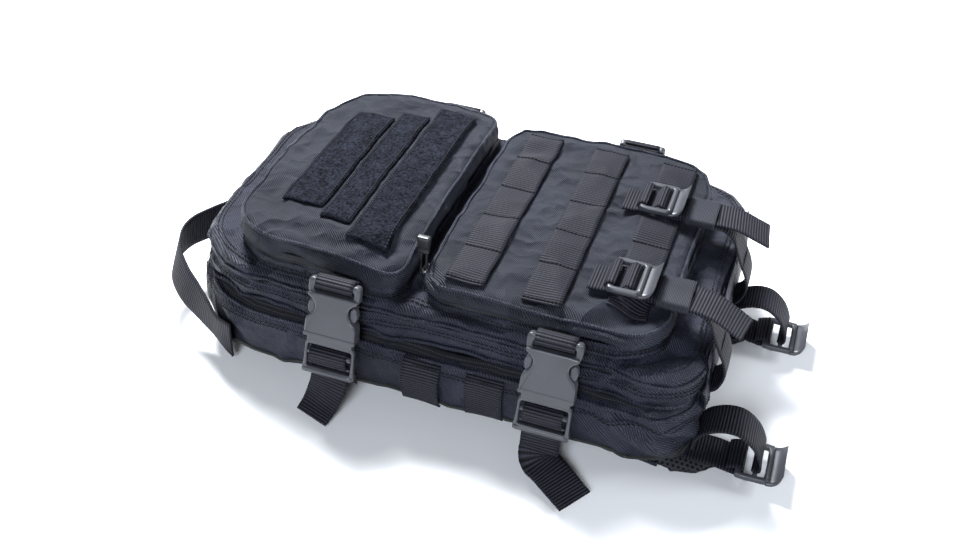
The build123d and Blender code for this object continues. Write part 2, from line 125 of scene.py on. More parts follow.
# %% Shader helpers
class Value:
    """A socket with arithmetic: every operator adds one Math node."""

    def __init__(self, tree, socket):
        self.tree = tree
        self.socket = socket

    def math(self, operation, other=None, first=None):
        node = self.tree.nodes.new("ShaderNodeMath")
        node.operation = operation
        operands = (self, other) if first is None else (first, self)
        for index, operand in enumerate(operands):
            if isinstance(operand, Value):
                self.tree.links.new(operand.socket, node.inputs[index])
            elif operand is not None:
                node.inputs[index].default_value = operand
        return Value(self.tree, node.outputs[0])

    def __add__(self, other): return self.math("ADD", other)
    def __radd__(self, other): return self.math("ADD", other)
    def __sub__(self, other): return self.math("SUBTRACT", other)
    def __rsub__(self, other): return self.math("SUBTRACT", first=other)
    def __mul__(self, other): return self.math("MULTIPLY", other)
    def __rmul__(self, other): return self.math("MULTIPLY", other)
    def __truediv__(self, other): return self.math("DIVIDE", other)
    def __pow__(self, other): return self.math("POWER", other)

    def sin(self): return self.math("SINE")
    def abs(self): return self.math("ABSOLUTE")
    def fract(self): return self.math("FRACT")
    def floor(self): return self.math("FLOOR")
    def over(self, limit): return self.math("GREATER_THAN", limit)
    def positive(self): return self.math("MAXIMUM", 0.0)


class Finish:
    """A material: a Principled shader, nodes made in one call each, and constants set on its sockets."""

    def __init__(self, name, **constants):
        self.material = bpy.data.materials.new(name)
        self.material.use_nodes = True
        self.tree = self.material.node_tree
        self.shader = self.tree.nodes["Principled BSDF"]
        for socket, value in constants.items():
            self.shader.inputs[socket.replace("_", " ")].default_value = value

    def node(self, kind, out=0, settings=None, **links):
        made = self.tree.nodes.new("ShaderNode" + kind)
        for key, value in (settings or {}).items():
            setattr(made, key, value)
        for key, value in links.items():
            numbered = key[0] == "i" and key[1:].isdigit()
            socket = made.inputs[int(key[1:]) if numbered else key.replace("_", " ")]
            if isinstance(value, Value):
                self.tree.links.new(value.socket, socket)
            else:
                socket.default_value = value
        return Value(self.tree, made.outputs[out])

    def split(self, vector):
        made = self.tree.nodes.new("ShaderNodeSeparateXYZ")
        self.tree.links.new(vector.socket, made.inputs[0])
        return [Value(self.tree, output) for output in made.outputs]

    def place(self): return self.node("TexCoord", 3)
    def cloth_uv(self): return self.node("TexCoord", 2)

    def noise(self, vector, scale, detail=2.0):
        return self.node("TexNoise", 0, Vector=vector, Scale=scale, Detail=detail)

    def mix(self, factor, dark, light):
        return self.node("Mix", 2, {"data_type": "RGBA"}, i0=factor, i6=dark, i7=light)

    def bump(self, height, distance, strength=1.0):
        return self.node("Bump", 0, Height=height, Distance=distance, Strength=strength)

    def wear(self, **links):
        for socket, value in links.items():
            self.tree.links.new(value.socket, self.shader.inputs[socket.replace("_", " ")])
        return self.material


# %% [markdown]
# Pack nylon is a heavy twill: threads pass over two and under two, so fine diagonal ridges catch
# the light. Light and shade are also painted into its colour: the ridge tops are painted lighter as
# highlight, the grooves near black as shade, and ridged crease lines get a painted highlight. It is
# drawn on a flat map in metres that each piece carries, so the ridges keep one size on every panel.

# %% Pack fabric
TWILL = 2.0 * MM


def twill(name, dark, light, pitch=TWILL, rough=0.52, gloss=0.24):
    made = Finish(name, Specular_IOR_Level=gloss)
    u, v, _ = made.split(made.cloth_uv())
    place = made.place()
    wander = made.noise(place, 900, 1.0)
    ridge = ((u + v) * (2 * math.pi / pitch) + wander * 2.2).sin() * 0.5 + 0.5
    thread = ((u - v) * (2 * math.pi / (0.9 * pitch))).sin() * 0.5 + 0.5
    weave = ridge * 0.62 + thread * ridge * 0.38
    broad = made.noise(place, 26, 3.0)
    rub = made.noise(place, 7, 2.0)
    crease = 1 - (made.noise(place, 17, 2.0) * 2 - 1).abs() * 3.2
    crumple = 1 - (made.noise(place, 39, 2.0) * 2 - 1).abs() * 3.2
    # Painted light in the colour: weave ridge tops are painted lighter as highlight and the grooves near
    # black as shade, and crease lines get a painted highlight; broad and rub are random tone.
    shade = weave * 0.8 + (broad - 0.5) * 0.4 + (rub - 0.5) * 0.3 + crease.positive() * 0.12
    colour = made.mix(shade, dark, light)
    wrinkled = made.bump(crease.positive() + crumple.positive() * 0.4, 4.5 * MM, 1.0)
    return made.wear(Base_Color=colour, Roughness=weave * -0.16 + rough + broad * 0.06,
                     Normal=made.node("Bump", 0, Height=weave, Distance=0.5 * MM, Strength=1.0,
                                      Normal=wrinkled))


NYLON = twill("black_nylon", (0.0008, 0.001, 0.0025, 1), (0.046, 0.051, 0.080, 1))
PLAIN = twill("pocket_face", (0.0010, 0.0014, 0.0026, 1), (0.039, 0.045, 0.066, 1), pitch=1.7 * MM,
              rough=0.66)
LINING = twill("lining", (0.02, 0.021, 0.024, 1), (0.05, 0.053, 0.06, 1), pitch=0.8 * MM, rough=0.8,
               gloss=0.1)
BACKING = twill("back_fabric", (0.022, 0.0235, 0.0225, 1), (0.062, 0.066, 0.062, 1), pitch=1.4 * MM,
                rough=0.75)


# %% [markdown]
# Webbing is woven much coarser: short floats lie in columns along its length. On the strap every
# other column is half a step on and the two edges are tight; here the columns are drawn in step
# and the edges plain. Its map runs across and along the strip, in metres.

# %% Webbing, elastic and thread
def ribbed(name, dark, light, row=1.7 * MM, column=2.3 * MM, height=0.5 * MM):
    made = Finish(name, Specular_IOR_Level=0.22)
    across, along, _ = made.split(made.cloth_uv())
    lane = across * (1 / column)
    float_height = (along * (2 * math.pi / row)).sin() * 0.5 + 0.5
    groove = ((lane.fract() - 0.5).abs() * 2) ** 6.0
    weave = float_height * (1 - groove * 0.35)
    broad = made.noise(made.place(), 60, 2.0)
    # Painted light in the colour: the float tops are painted lighter as highlight, and the dips between rows
    # and the grooves between columns darker as shade; broad is random tone.
    colour = made.mix(weave * 0.95 + (broad - 0.5) * 0.3, dark, light)
    return made.wear(Base_Color=colour, Roughness=0.72 - weave * 0.16, Normal=made.bump(weave, height, 1.0))


WEBBING = ribbed("webbing", (0.0004, 0.0004, 0.0010, 1), (0.026, 0.0262, 0.040, 1), row=2.0 * MM)
WEBBING_LIGHT = ribbed("lash_webbing", (0.0006, 0.0006, 0.0012, 1), (0.030, 0.0305, 0.044, 1), row=2.0 * MM)
ELASTIC = ribbed("elastic", (0.006, 0.0065, 0.010, 1), (0.036, 0.038, 0.050, 1), row=0.95 * MM,
                 column=60 * MM, height=0.2 * MM)

made = Finish("thread", Roughness=0.6, Specular_IOR_Level=0.2)
THREAD = made.wear(Base_Color=made.mix(made.noise(made.place(), 900), (0.003, 0.003, 0.005, 1),
                                       (0.014, 0.015, 0.021, 1)))


# %% [markdown]
# The fields for patches are the loop half of hook-and-loop: a dense, tangled pile that hardly
# shines. Two sizes of noise make the tangle, and its bump is deep for its size.

# %% Loop pile, air mesh, coil and plastics
made = Finish("loop_pile", Roughness=0.95, Specular_IOR_Level=0.08)
place = made.place()
tangle = made.noise(place, 520, 4.0) * 0.6 + made.noise(place, 1500, 2.0) * 0.4
tuft = made.noise(place, 150, 3.0)
LOOP = made.wear(
    Base_Color=made.mix((tangle - 0.38) * 3.2 + (tuft - 0.5), (0.0008, 0.0008, 0.0015, 1),
                        (0.022, 0.025, 0.037, 1)),
    Normal=made.bump(tangle + tuft * 0.5, 1.1 * MM, 1.0))

made = Finish("air_mesh", Roughness=0.85, Specular_IOR_Level=0.15)
across, along, _ = made.split(made.cloth_uv())
HOLE = 3.4 * MM
shift = (along * (0.5 / (0.87 * HOLE))).fract().over(0.5) * 0.5
hole_u = (across * (1 / HOLE) + shift).fract() - 0.5
hole_v = (along * (1 / (0.87 * HOLE))).fract() - 0.5
hole = 1 - ((hole_u * hole_u + hole_v * hole_v) ** 0.5).over(0.3)
# The holes are painted near black: painted shade in the recesses of the mesh.
MESH = made.wear(Base_Color=made.mix(hole, (0.04, 0.042, 0.048, 1), (0.004, 0.004, 0.005, 1)),
                 Normal=made.bump(1 - hole, 1.2 * MM, 1.0))


def moulded(name, colour, light, rough, grain=2200, speck=0.05 * MM):
    made = Finish(name, Specular_IOR_Level=0.5)
    place = made.place()
    fine = made.noise(place, grain, 2.0)
    broad = made.noise(place, 45, 3.0)
    return made.wear(Base_Color=made.mix(broad * 0.7 + fine * 0.3, colour, light),
                     Roughness=fine * 0.16 + broad * 0.12 + rough - 0.14, Normal=made.bump(fine, speck, 0.5))


ACETAL = moulded("acetal", (0.026, 0.027, 0.033, 1), (0.075, 0.078, 0.09, 1), 0.36, 1500, 0.12 * MM)
GRIP = moulded("grip_rubber", (0.012, 0.012, 0.014, 1), (0.03, 0.031, 0.034, 1), 0.32)
CORD = moulded("cord_jacket", (0.02, 0.02, 0.023, 1), (0.05, 0.05, 0.056, 1), 0.5, 1400)
SLIDER = moulded("slider_metal", (0.02, 0.02, 0.022, 1), (0.045, 0.045, 0.05, 1), 0.35)
SHEET = moulded("frame_sheet_plastic", (0.03, 0.03, 0.034, 1), (0.055, 0.055, 0.06, 1), 0.5, 300)

made = Finish("paper_floor", Roughness=0.9, Specular_IOR_Level=0.2)
FLOOR = made.wear(Base_Color=made.mix(made.noise(made.place(), 2.0), (0.93, 0.93, 0.93, 1),
                                      (0.96, 0.96, 0.96, 1)))
floor.data.materials.append(FLOOR)
print("materials", len(bpy.data.materials))


# %% [markdown]
# Every piece is a small mesh made with bmesh and handed over here: it is given its map in metres,
# shaded smooth, and set to ride on a body. The map is laid from the side that each face looks to,
# so the weave keeps its scale.

# %% Handing a mesh over
def lay_map(bm, mesh_map):
    """A flat map in metres, projected on each face from the axis that it faces most."""
    bm.normal_update()
    for face in bm.faces:
        x, y, z = (abs(v) for v in face.normal)
        if z >= 0.62:
            pick = (0, 1)
        elif y >= x:
            pick = (0, 2)
        else:
            pick = (1, 2)
        for loop in face.loops:
            loop[mesh_map].uv = (loop.vert.co[pick[0]], loop.vert.co[pick[1]])


def hand_over(bm, name, materials, body=None, instead_of=(), laid=False, thick=0.0, lined=False):
    mesh_map = bm.loops.layers.uv.verify()
    if not laid:
        lay_map(bm, mesh_map)
    for face in bm.faces:
        face.smooth = len(face.verts) <= 8
    mesh = bpy.data.meshes.new(name)
    bm.to_mesh(mesh)
    bm.free()
    piece = bpy.data.objects.new(name, mesh)
    bpy.context.collection.objects.link(piece)
    for material in materials:
        mesh.materials.append(material)
    if thick:
        wall = piece.modifiers.new("thickness", "SOLIDIFY")
        wall.thickness = thick
        wall.offset = -1 if lined else 0
        wall.material_offset = 1 if lined else 0
    if body:
        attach(piece, body)
    if instead_of:
        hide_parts(*instead_of)
    return piece


# %% [markdown]
# Cloth never lies flat. One small class says how a panel lies: a slow swell, thin pressed ridges,
# and the folds that are listed for it, each a line with a width and a depth. Everything sewn on
# reads the same heights. The noise that bends the ridges is seeded, because otherwise it starts from
# the clock and the cloth would lie another way in each run.

# %% How cloth lies
class Cloth:
    def __init__(self, seed, swell=1.0, ridge=0.0, folds=(), sags=()):
        self.seed = Vector((seed, seed * 1.7, seed * 2.3))
        self.swell = swell
        self.ridge = ridge
        self.folds = [(Vector(a), Vector(b), width, depth) for a, b, width, depth in folds]
        self.sags = [(Vector((x, y)), reach, drop) for x, y, reach, drop in sags]

    def lift(self, p):
        """Height of the cloth above its plain surface at p, in metres. Folds are given in millimetres."""
        q = p / MM
        height = self.swell * (noise.noise(q / 47 + self.seed) + 0.45 * noise.noise(q / 19 - self.seed))
        if self.ridge:
            bent = q + 9 * noise.noise_vector(q / 40 + self.seed)
            for size, share in ((38, 1.0), (17, 0.45)):
                crest = 1 - abs(noise.noise(bent / size + 2 * self.seed)) * 2.2
                height += self.ridge * share * (max(0.0, crest) ** 3 - 0.25)
        for a, b, width, depth in self.folds:
            along = b - a
            share = max(0.0, min(1.0, (q - a).dot(along) / along.length_squared))
            gap = (q - a - along * share).length / width
            if gap < 4:
                ends = math.sin(math.pi * (0.08 + 0.84 * share)) ** 0.7
                height += depth * ends * (math.exp(-gap * gap) - 0.55 * math.exp(-((gap - 1.7) ** 2) * 1.5))
        return height * MM

    def sag(self, p):
        """How far the cloth hangs below its plain height at p, in metres."""
        q = Vector((p.x / MM, p.y / MM))
        return -MM * sum(drop * math.exp(-((q - middle).length / reach) ** 2) for middle, reach,
                         drop in self.sags)

    def settle(self, p, way):
        return p + way * self.lift(p) + Vector((0, 0, self.sag(p)))


noise.seed_set(7)
FLAT = Cloth(0, 0.0)


# %% [markdown]
# A layer of the pack is a rounded rectangle in plan. This class gives a point on it for any share
# of the way round and any distance in or out, with its corners kept in step, so rings at different
# heights join without twisting.

# %% Plan of a layer
class Plan:
    def __init__(self, low, high, half, top_r, base_r):
        self.corners = [(high, half, base_r, 0), (low, half, top_r, 90), (low, -half, top_r, 180),
                        (high, -half, base_r, 270)]
        lengths = []
        for number, (x, y, r, _) in enumerate(self.corners):
            px, py, pr, _ = self.corners[number - 1]
            run = abs(x - px) + abs(y - py) - r - pr
            lengths += [run, r * math.pi / 2]
        self.ends = [sum(lengths[:n + 1]) for n in range(8)]
        self.length = self.ends[-1]

    def corner(self, number, out):
        x, y, r, turn = self.corners[number % 4]
        radius = max(r + out, 2 * MM)
        sx, sy = math.copysign(1, x - (self.corners[0][0] + self.corners[1][0]) / 2), math.copysign(1, y)
        return Vector((x + sx * (out - radius), y + sy * (out - radius), 0)), radius, turn

    def at(self, share, out=0.0):
        """The point and the outward direction at a share of the way round, from the near end of the base."""
        distance = (share % 1.0) * self.length
        number = next((n for n, end in enumerate(self.ends) if distance <= end), 7)
        start = self.ends[number - 1] if number else 0.0
        part = (distance - start) / max(self.ends[number] - start, 1e-9)
        centre, radius, turn = self.corner(number // 2, out)
        if number % 2:
            angle = math.radians(turn + 90 * part)
            normal = Vector((math.cos(angle), math.sin(angle), 0))
            return centre + normal * radius, normal
        before, before_r, _ = self.corner(number // 2 - 1, out)
        angle = math.radians(turn)
        normal = Vector((math.cos(angle), math.sin(angle), 0))
        return (before + normal * before_r).lerp(centre + normal * radius, part), normal


class Line:
    """A smooth line through points, read by share of its length."""

    def __init__(self, points):
        self.points = [Vector(p) for p in points]
        self.samples = []
        padded = [2 * self.points[0] - self.points[1], *self.points, 2 * self.points[-1] - self.points[-2]]
        for number in range(len(self.points) - 1):
            a, b, c, d = padded[number:number + 4]
            for step in range(24):
                t = step / 24
                self.samples.append(0.5 * (2 * b + (c - a) * t + (2 * a - 5 * b + 4 * c - d) * t * t
                                           + (3 * b - a - 3 * c + d) * t ** 3))
        self.samples.append(self.points[-1].copy())
        self.runs = [0.0]
        for p, q in zip(self.samples, self.samples[1:]):
            self.runs.append(self.runs[-1] + (q - p).length)
        self.length = self.runs[-1]

    def at(self, share):
        distance = max(0.0, min(1.0, share)) * self.length
        low, high = 0, len(self.runs) - 1
        while high - low > 1:
            middle = (low + high) // 2
            low, high = (middle, high) if self.runs[middle] <= distance else (low, middle)
        part = (distance - self.runs[low]) / max(self.runs[high] - self.runs[low], 1e-12)
        return self.samples[low].lerp(self.samples[high], part)

    def along(self, share):
        return (self.at(share + 0.004) - self.at(share - 0.004)).normalized()


# %% [markdown]
# A drum starts as a circle of vertices. Extruding its edge gives the next ring, and each ring is
# then set on the plan at its own distance and height, so walls, rims and crowned tops come from one
# run of extrusions.

# %% Drum, strip and tube
def drum(plan, keys, cloth=FLAT, step=4 * MM, pitch=4 * MM, shut=(False, True)):
    """Rings of a plan joined by extrusion. A key is (out, height, tilt): tilt 0 is wall, 1 faces up."""
    profile = Line([Vector(k) for k in keys])
    count = max(2, round(profile.length * MM / step))
    bm = bmesh.new()
    bmesh.ops.create_circle(bm, segments=max(12, round(plan.length / pitch)), radius=1)
    place = bm.verts.layers.float.new("share")
    bm.verts.ensure_lookup_table()
    for number, vert in enumerate(bm.verts):
        vert[place] = number / len(bm.verts)
    edges, ring = list(bm.edges), list(bm.verts)
    for number in range(count + 1):
        if number:
            made = bmesh.ops.extrude_edge_only(bm, edges=edges)["geom"]
            ring = [g for g in made if isinstance(g, bmesh.types.BMVert)]
            edges = [g for g in made if isinstance(g, bmesh.types.BMEdge)]
        out, height, tilt = profile.at(number / count)
        tilt = max(-1.0, min(1.0, tilt))
        for vert in ring:
            point, normal = plan.at(vert[place], out * MM)
            point.z = height * MM
            way = (normal * (1 - abs(tilt)) + Vector((0, 0, tilt))).normalized()
            vert.co = cloth.settle(point, way)
        if (number == 0 and shut[0]) or (number == count and shut[1]):
            bmesh.ops.contextual_create(bm, geom=edges)
    bmesh.ops.recalc_face_normals(bm, faces=bm.faces)
    return bm


def strip(points, width, across, columns=6, pitch=3 * MM, bow=0.0, taper=None):
    """A flat strip along a smooth line. across is one direction, or one for each point, turned smoothly."""
    line = Line(points)
    turns = Line([Vector(a).normalized() for a in across]) if isinstance(across, list) else None
    rows = max(2, round(line.length / pitch))
    bm = bmesh.new()
    bmesh.ops.create_grid(bm, x_segments=columns, y_segments=rows, size=1)
    cloth_map = bm.loops.layers.uv.verify()
    for face in bm.faces:
        for loop in face.loops:
            x, y, _ = loop.vert.co
            loop[cloth_map].uv = (x * width / 2, (y + 1) / 2 * line.length)
    for vert in bm.verts:
        x, share = vert.co.x, (vert.co.y + 1) / 2
        side = turns.at(near_share(line, share, turns)) if turns else Vector(across)
        way = line.along(share)
        side = (side - way * side.dot(way)).normalized()
        face_way = side.cross(way)
        half = width / 2 * (taper(share) if taper else 1)
        vert.co = line.at(share) + side * x * half + face_way * bow * (1 - x * x)
    return bm


def near_share(line, share, turns):
    """The share along a list of directions that belongs to a share along the line's own length."""
    distance = share * line.length
    per = (len(line.samples) - 1) // (len(line.points) - 1)
    marks = [line.runs[n * per] for n in range(len(line.points))]
    for number in range(len(marks) - 1):
        if distance <= marks[number + 1] + 1e-9:
            part = (distance - marks[number]) / max(marks[number + 1] - marks[number], 1e-9)
            t_marks = [turns.runs[n * per] for n in range(len(turns.points))]
            return (t_marks[number] + part * (t_marks[number + 1] - t_marks[number])) / max(turns.length,
                                                                                            1e-9)
    return 1.0


def tube(points, radius, closed=False, sides=8, pitch=2.5 * MM):
    """A round cord along a smooth line: a small circle, extruded and turned from point to point."""
    line = Line(list(points) + [points[0]] if closed else points)
    rows = max(2, round(line.length / pitch))
    bm = bmesh.new()
    bmesh.ops.create_circle(bm, segments=sides, radius=radius)
    turn = bm.verts.layers.float.new("turn")
    bm.verts.ensure_lookup_table()
    for number, vert in enumerate(bm.verts):
        vert[turn] = 2 * math.pi * number / sides
    edges, ring = list(bm.edges), list(bm.verts)
    side = Vector((0.137, 0.211, 0.968))
    for row in range(rows + 1):
        if row:
            made = bmesh.ops.extrude_edge_only(bm, edges=edges)["geom"]
            ring = [g for g in made if isinstance(g, bmesh.types.BMVert)]
            edges = [g for g in made if isinstance(g, bmesh.types.BMEdge)]
        way = line.along(row / rows)
        side = (side - way * side.dot(way)).normalized()
        up = way.cross(side)
        for vert in ring:
            vert.co = line.at(row / rows) + (side * math.cos(vert[turn]) + up * math.sin(vert[turn])) * radius
        if not closed and row in (0, rows):
            bmesh.ops.contextual_create(bm, geom=edges)
    bmesh.ops.recalc_face_normals(bm, faces=bm.faces)
    return bm


def joined(parts):
    """Several meshes as one."""
    whole = bmesh.new()
    for part in parts:
        mesh = bpy.data.meshes.new("part")
        part.to_mesh(mesh)
        part.free()
        whole.from_mesh(mesh)
        bpy.data.meshes.remove(mesh)
    return whole


def turned(bm, matrix):
    bmesh.ops.transform(bm, matrix=matrix, verts=bm.verts)
    return bm


# %% [markdown]
# Stitches are short raised dashes of thread, about three millimetres apart. Each is a bevelled box
# of a few dozen faces, laid along the seam and turned to follow it.

# %% Seams
def stitches(lines, face_way, pitch=3.4 * MM, width=0.75 * MM, proud=0.35 * MM):
    """Dashes of thread along each line of points, standing a little proud of the cloth."""
    parts = []
    for points in lines:
        line = Line(points)
        count = max(1, round(line.length / pitch))
        for number in range(count):
            share = (number + 0.5) / count
            way = line.along(share)
            up = Vector(face_way(line.at(share)) if callable(face_way) else face_way)
            side = way.cross(up).normalized()
            up = side.cross(way)
            dash = bmesh.new()
            bmesh.ops.create_cube(dash, size=1)
            bmesh.ops.scale(dash, vec=(pitch * 0.72, width, width * 0.8), verts=dash.verts)
            basis = Matrix((way, side, up)).transposed().to_4x4()
            parts.append(turned(dash, Matrix.Translation(line.at(share) + up * proud) @ basis))
    return joined(parts)


# %% [markdown]
# The pack is three bags in a stack, each a tub of nylon with a zip round its rim. A tub is one
# drum: floor, wall with a belly, and a rim turned in. A Solidify wall inward gives the cloth its
# thickness, with lining inside.

# %% Where the layers are
def layer_plan(node, top_r, base_r):
    """The plan of a layer from its node's box, with its top and base corner radii in millimetres."""
    low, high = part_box(node)
    return Plan(low.x, high.x, high.y, top_r * MM, base_r * MM)


main_low, main_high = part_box("main_shell")
MAIN = Plan(main_low.x + 5 * MM, main_high.x, main_high.y, 74 * MM, 34 * MM)
MIDDLE = layer_plan("middle_shell", 64, 30)
FRONT = layer_plan("front_panel", 64, 30)
UPPER = Plan(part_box("upper_pocket_flap")[0].x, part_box("upper_pocket_base")[1].x,
             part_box("upper_pocket_flap")[1].y, 46 * MM, 12 * MM)
LOWER = Plan(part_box("lower_pocket_flap")[0].x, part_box("lower_pocket_base")[1].x,
             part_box("lower_pocket_flap")[1].y, 22 * MM, 34 * MM)
Z_MAIN, Z_MAIN_ZIP = (v.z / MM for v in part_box("main_shell"))
Z_MID, Z_MID_ZIP = (v.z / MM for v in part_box("middle_shell"))
Z_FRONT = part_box("front_panel")[0].z / MM
Z_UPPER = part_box("upper_pocket_flap")[1].z / MM
Z_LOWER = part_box("lower_pocket_flap")[1].z / MM
Z_UPPER_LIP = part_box("upper_pocket_flap")[0].z / MM
Z_LOWER_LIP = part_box("lower_pocket_flap")[0].z / MM
print("layers", Z_MAIN, Z_MAIN_ZIP, Z_MID, Z_MID_ZIP, Z_FRONT, Z_UPPER, Z_LOWER, Z_UPPER_LIP, Z_LOWER_LIP)

# %% [markdown]
# The main bag carries the weight of the stack, so its wall bellies out, dents between the side
# patches, and is pressed into deep folds at its near base corner, where the strap pulls it down.
# Its lowest band is the back fabric.

# %% Main bag
MAIN_CLOTH = Cloth(3.1, 2.2, 1.7, [
    ((120, -122, 49), (166, -104, 26), 5.5, -5.5), ((92, -122, 47), (140, -122, 22), 5, -3.2),
    ((150, -110, 48), (168, -70, 30), 5, -4), ((-178, -82, 50), (-140, -122, 20), 7, -3.5),
    ((-196, -60, 40), (-176, -92, 20), 6, -2.6), ((-60, -120, 44), (-96, -120, 18), 7, -2.4),
    ((12, -120, 46), (-4, -120, 16), 6, -1.8), ((60, -120, 40), (92, -120, 30), 7, -2.2),
    ((-120, 122, 46), (-70, 122, 20), 7, -3), ((30, 122, 44), (80, 122, 18), 7, -3),
    ((140, 112, 46), (164, 90, 20), 6, -4),
    ((166, -40, 46), (166, 10, 24), 6, -3), ((166, 60, 44), (166, 30, 20), 6, -2.4),
    ((-200, 20, 44), (-200, -20, 22), 6, -2)],
    [(162, -118, 42, 3.5), (0, -118, 40, 1.2), (-198, 0, 60, 1.5)])
bm = drum(MAIN, [(-112, Z_MAIN + 0.8, -1), (-20, Z_MAIN + 0.6, -1), (-6, Z_MAIN + 1.2, -0.8),
                 (-1.2, Z_MAIN + 5, -0.3),
                 (1.6, Z_MAIN + 15, 0), (2.6, Z_MAIN + 25, 0), (1.2, Z_MAIN_ZIP - 5, 0.1),
                 (-1.4, Z_MAIN_ZIP - 1, 0.5),
                 (-5, Z_MAIN_ZIP + 0.2, 0.95), (-13, Z_MAIN_ZIP, 1)], MAIN_CLOTH, 2.6 * MM, 3 * MM,
                 shut=(True, False))
for face in bm.faces:
    if face.calc_center_median().z < (Z_MAIN + 6.5) * MM:
        face.material_index = 2
main_skin = hand_over(bm, "main_bag", [NYLON, LINING, BACKING, LINING], "main_section",
                      ["main_shell"],
                      thick=2.2 * MM, lined=True)

# %% [markdown]
# The middle bag is a shallow copy, and the front panel is a padded board of cloth that closes it.
# Both are pulled in by the straps at the buckles, so they get folds there too.

# %% Middle bag and front panel
MIDDLE_CLOTH = Cloth(5.3, 1.9, 1.7, [
    ((-90, -110, 70), (-50, -110, 57), 5, -3.2), ((50, -110, 70), (92, -110, 58), 5, -3),
    ((112, -108, 70), (156, -84, 58), 5, -4.5), ((-180, -70, 70), (-150, -104, 58), 6, -2.5),
    ((160, -50, 70), (160, 0, 58), 5, -2.5), ((-80, 110, 70), (-40, 110, 58), 5, -3),
    ((80, 110, 70), (130, 106, 58), 5, -3)],
    [(158, -108, 44, 4.5), (2, -108, 34, -1.6), (-74, -108, 26, 2.2), (74, -108, 26, 2.0),
     (-188, -60, 50, 2)])
bm = drum(MIDDLE, [(-102, Z_MID + 0.8, -1), (-8, Z_MID + 0.5, -1), (-1.5, Z_MID + 1.6, -0.5),
                   (1.6, Z_MID + 6, 0), (2.0, Z_MID + 10, 0),
                   (0.6, Z_MID_ZIP - 1.2, 0.2), (-2, Z_MID_ZIP, 0.8), (-9, Z_MID_ZIP - 0.2, 1)],
                   MIDDLE_CLOTH, 2.4 * MM, 3 * MM, shut=(True, False))
middle_skin = hand_over(bm, "middle_bag", [NYLON, LINING], "middle_section",
                        ["middle_shell"], thick=2.0 * MM, lined=True)

FRONT_CLOTH = Cloth(7.7, 1.7, 1.9, [
    ((-40, -112, 82), (-8, -60, 84), 6, -3.0), ((100, -112, 82), (158, -70, 80), 6, -4.0),
    ((-160, -80, 80), (-120, -110, 80), 5, -2.5),
    ((-96, -112, 80), (-60, -112, 76), 5, -3), ((40, -112, 80), (66, -112, 76), 5, -2.5)],
    [(158, -108, 46, 6.5), (2, -108, 30, -1.2), (-70, -110, 24, 2.6), (74, -110, 24, 2.4),
     (-188, -70, 50, 3), (158, 90, 40, 3)])
bm = drum(FRONT, [(-102, Z_FRONT + 0.7, -1), (-6, Z_FRONT + 0.3, -1), (-0.4, Z_FRONT + 1.4, -0.4),
                  (1.4, Z_FRONT + 3.5, 0.1),
                  (0, Z_FRONT + 6.2, 0.6), (-5, Z_FRONT + 8, 1), (-16, Z_FRONT + 8.4, 1),
                  (-102, Z_FRONT + 8, 1)],
          FRONT_CLOTH, 3 * MM, 3.4 * MM, shut=(True, True))
front_skin = hand_over(bm, "front_board", [NYLON], "front_section", ["front_panel"])

# %% [markdown]
# Each pocket has a gusset sewn to the board, and a face above its zip. The face folds back where
# the zip ends; here the face is one piece that rides on no body.

# %% Pocket faces and gussets
UPPER_CLOTH = Cloth(11.9, 1.4, 1.3, [
    ((-44.5, -92, 108), (-44.5, 96, 108), 3.4, -2.6), ((-100, -96, 108), (-60, -92, 108), 6, -2.4),
    ((-128, -84, 108), (-84, -90, 108), 6, -2.0),
    ((-150, -40, 108), (-120, -96, 106), 7, -2.6), ((-158, 30, 100), (-138, 60, 108), 8, -2.2),
    ((-60, -104, 104), (-36, -70, 106), 7, -3.5), ((-120, -104, 100), (-96, -104, 92), 6, -2.5),
    ((-146, -20, 108), (-138, 60, 108), 5, -1.6)],
    [(-32, -104, 34, 7.5), (-158, -70, 30, 3), (-158, 60, 34, 4), (-34, 100, 22, 3)])
LOWER_CLOTH = Cloth(17.3, 1.3, 1.2, [
    ((96, -104, 100), (132, -60, 102), 8, -4.5), ((64, -104, 100), (104, -96, 96), 6, -3.0),
    ((120, 20, 102), (92, 64, 102), 7, -1.8), ((28, -60, 102), (40, 10, 102), 7, -1.4),
    ((84, 40, 102), (80, -10, 102), 7, -1.4),
    ((-18, -84, 100), (-4, -100, 94), 5, -2.5), ((-12, 60, 102), (34, 74, 102), 8, -2.4),
    ((136, -40, 98), (136, 30, 94), 6, -2)],
    [(136, -106, 26, 8.5), (-20, -104, 16, 3), (138, 70, 30, 3.5), (60, -108, 26, 2.4), (138, 0, 20, 2)])


GUSSET_CLOTH = Cloth(23, 0.9, 0.9)


def face_of(plan, lip, top, inset):
    return [(0.4, lip + 0.3, 0), (1.6, lip + 3.4, 0), (1.2, lip + (top - lip) * 0.5, 0.12),
            (-1.6, top - 2.8, 0.5),
            (-7, top - 0.9, 0.9), (-18, top - 0.5, 1), (-inset, top - 0.3, 1)]


bm = drum(UPPER, face_of(UPPER, Z_UPPER_LIP, Z_UPPER, 61), UPPER_CLOTH, 2.8 * MM, 3 * MM)
upper_face = hand_over(bm, "upper_pocket_face", [PLAIN, LINING], None,
                       ["upper_pocket_flap", "upper_pocket_base"],
                       thick=1.6 * MM, lined=True)
bm = drum(LOWER, face_of(LOWER, Z_LOWER_LIP, Z_LOWER, 75), LOWER_CLOTH, 2.8 * MM, 3 * MM)
lower_face = hand_over(bm, "lower_pocket_face", [PLAIN, LINING], None,
                       ["lower_pocket_flap", "lower_pocket_base"],
                       thick=1.6 * MM, lined=True)

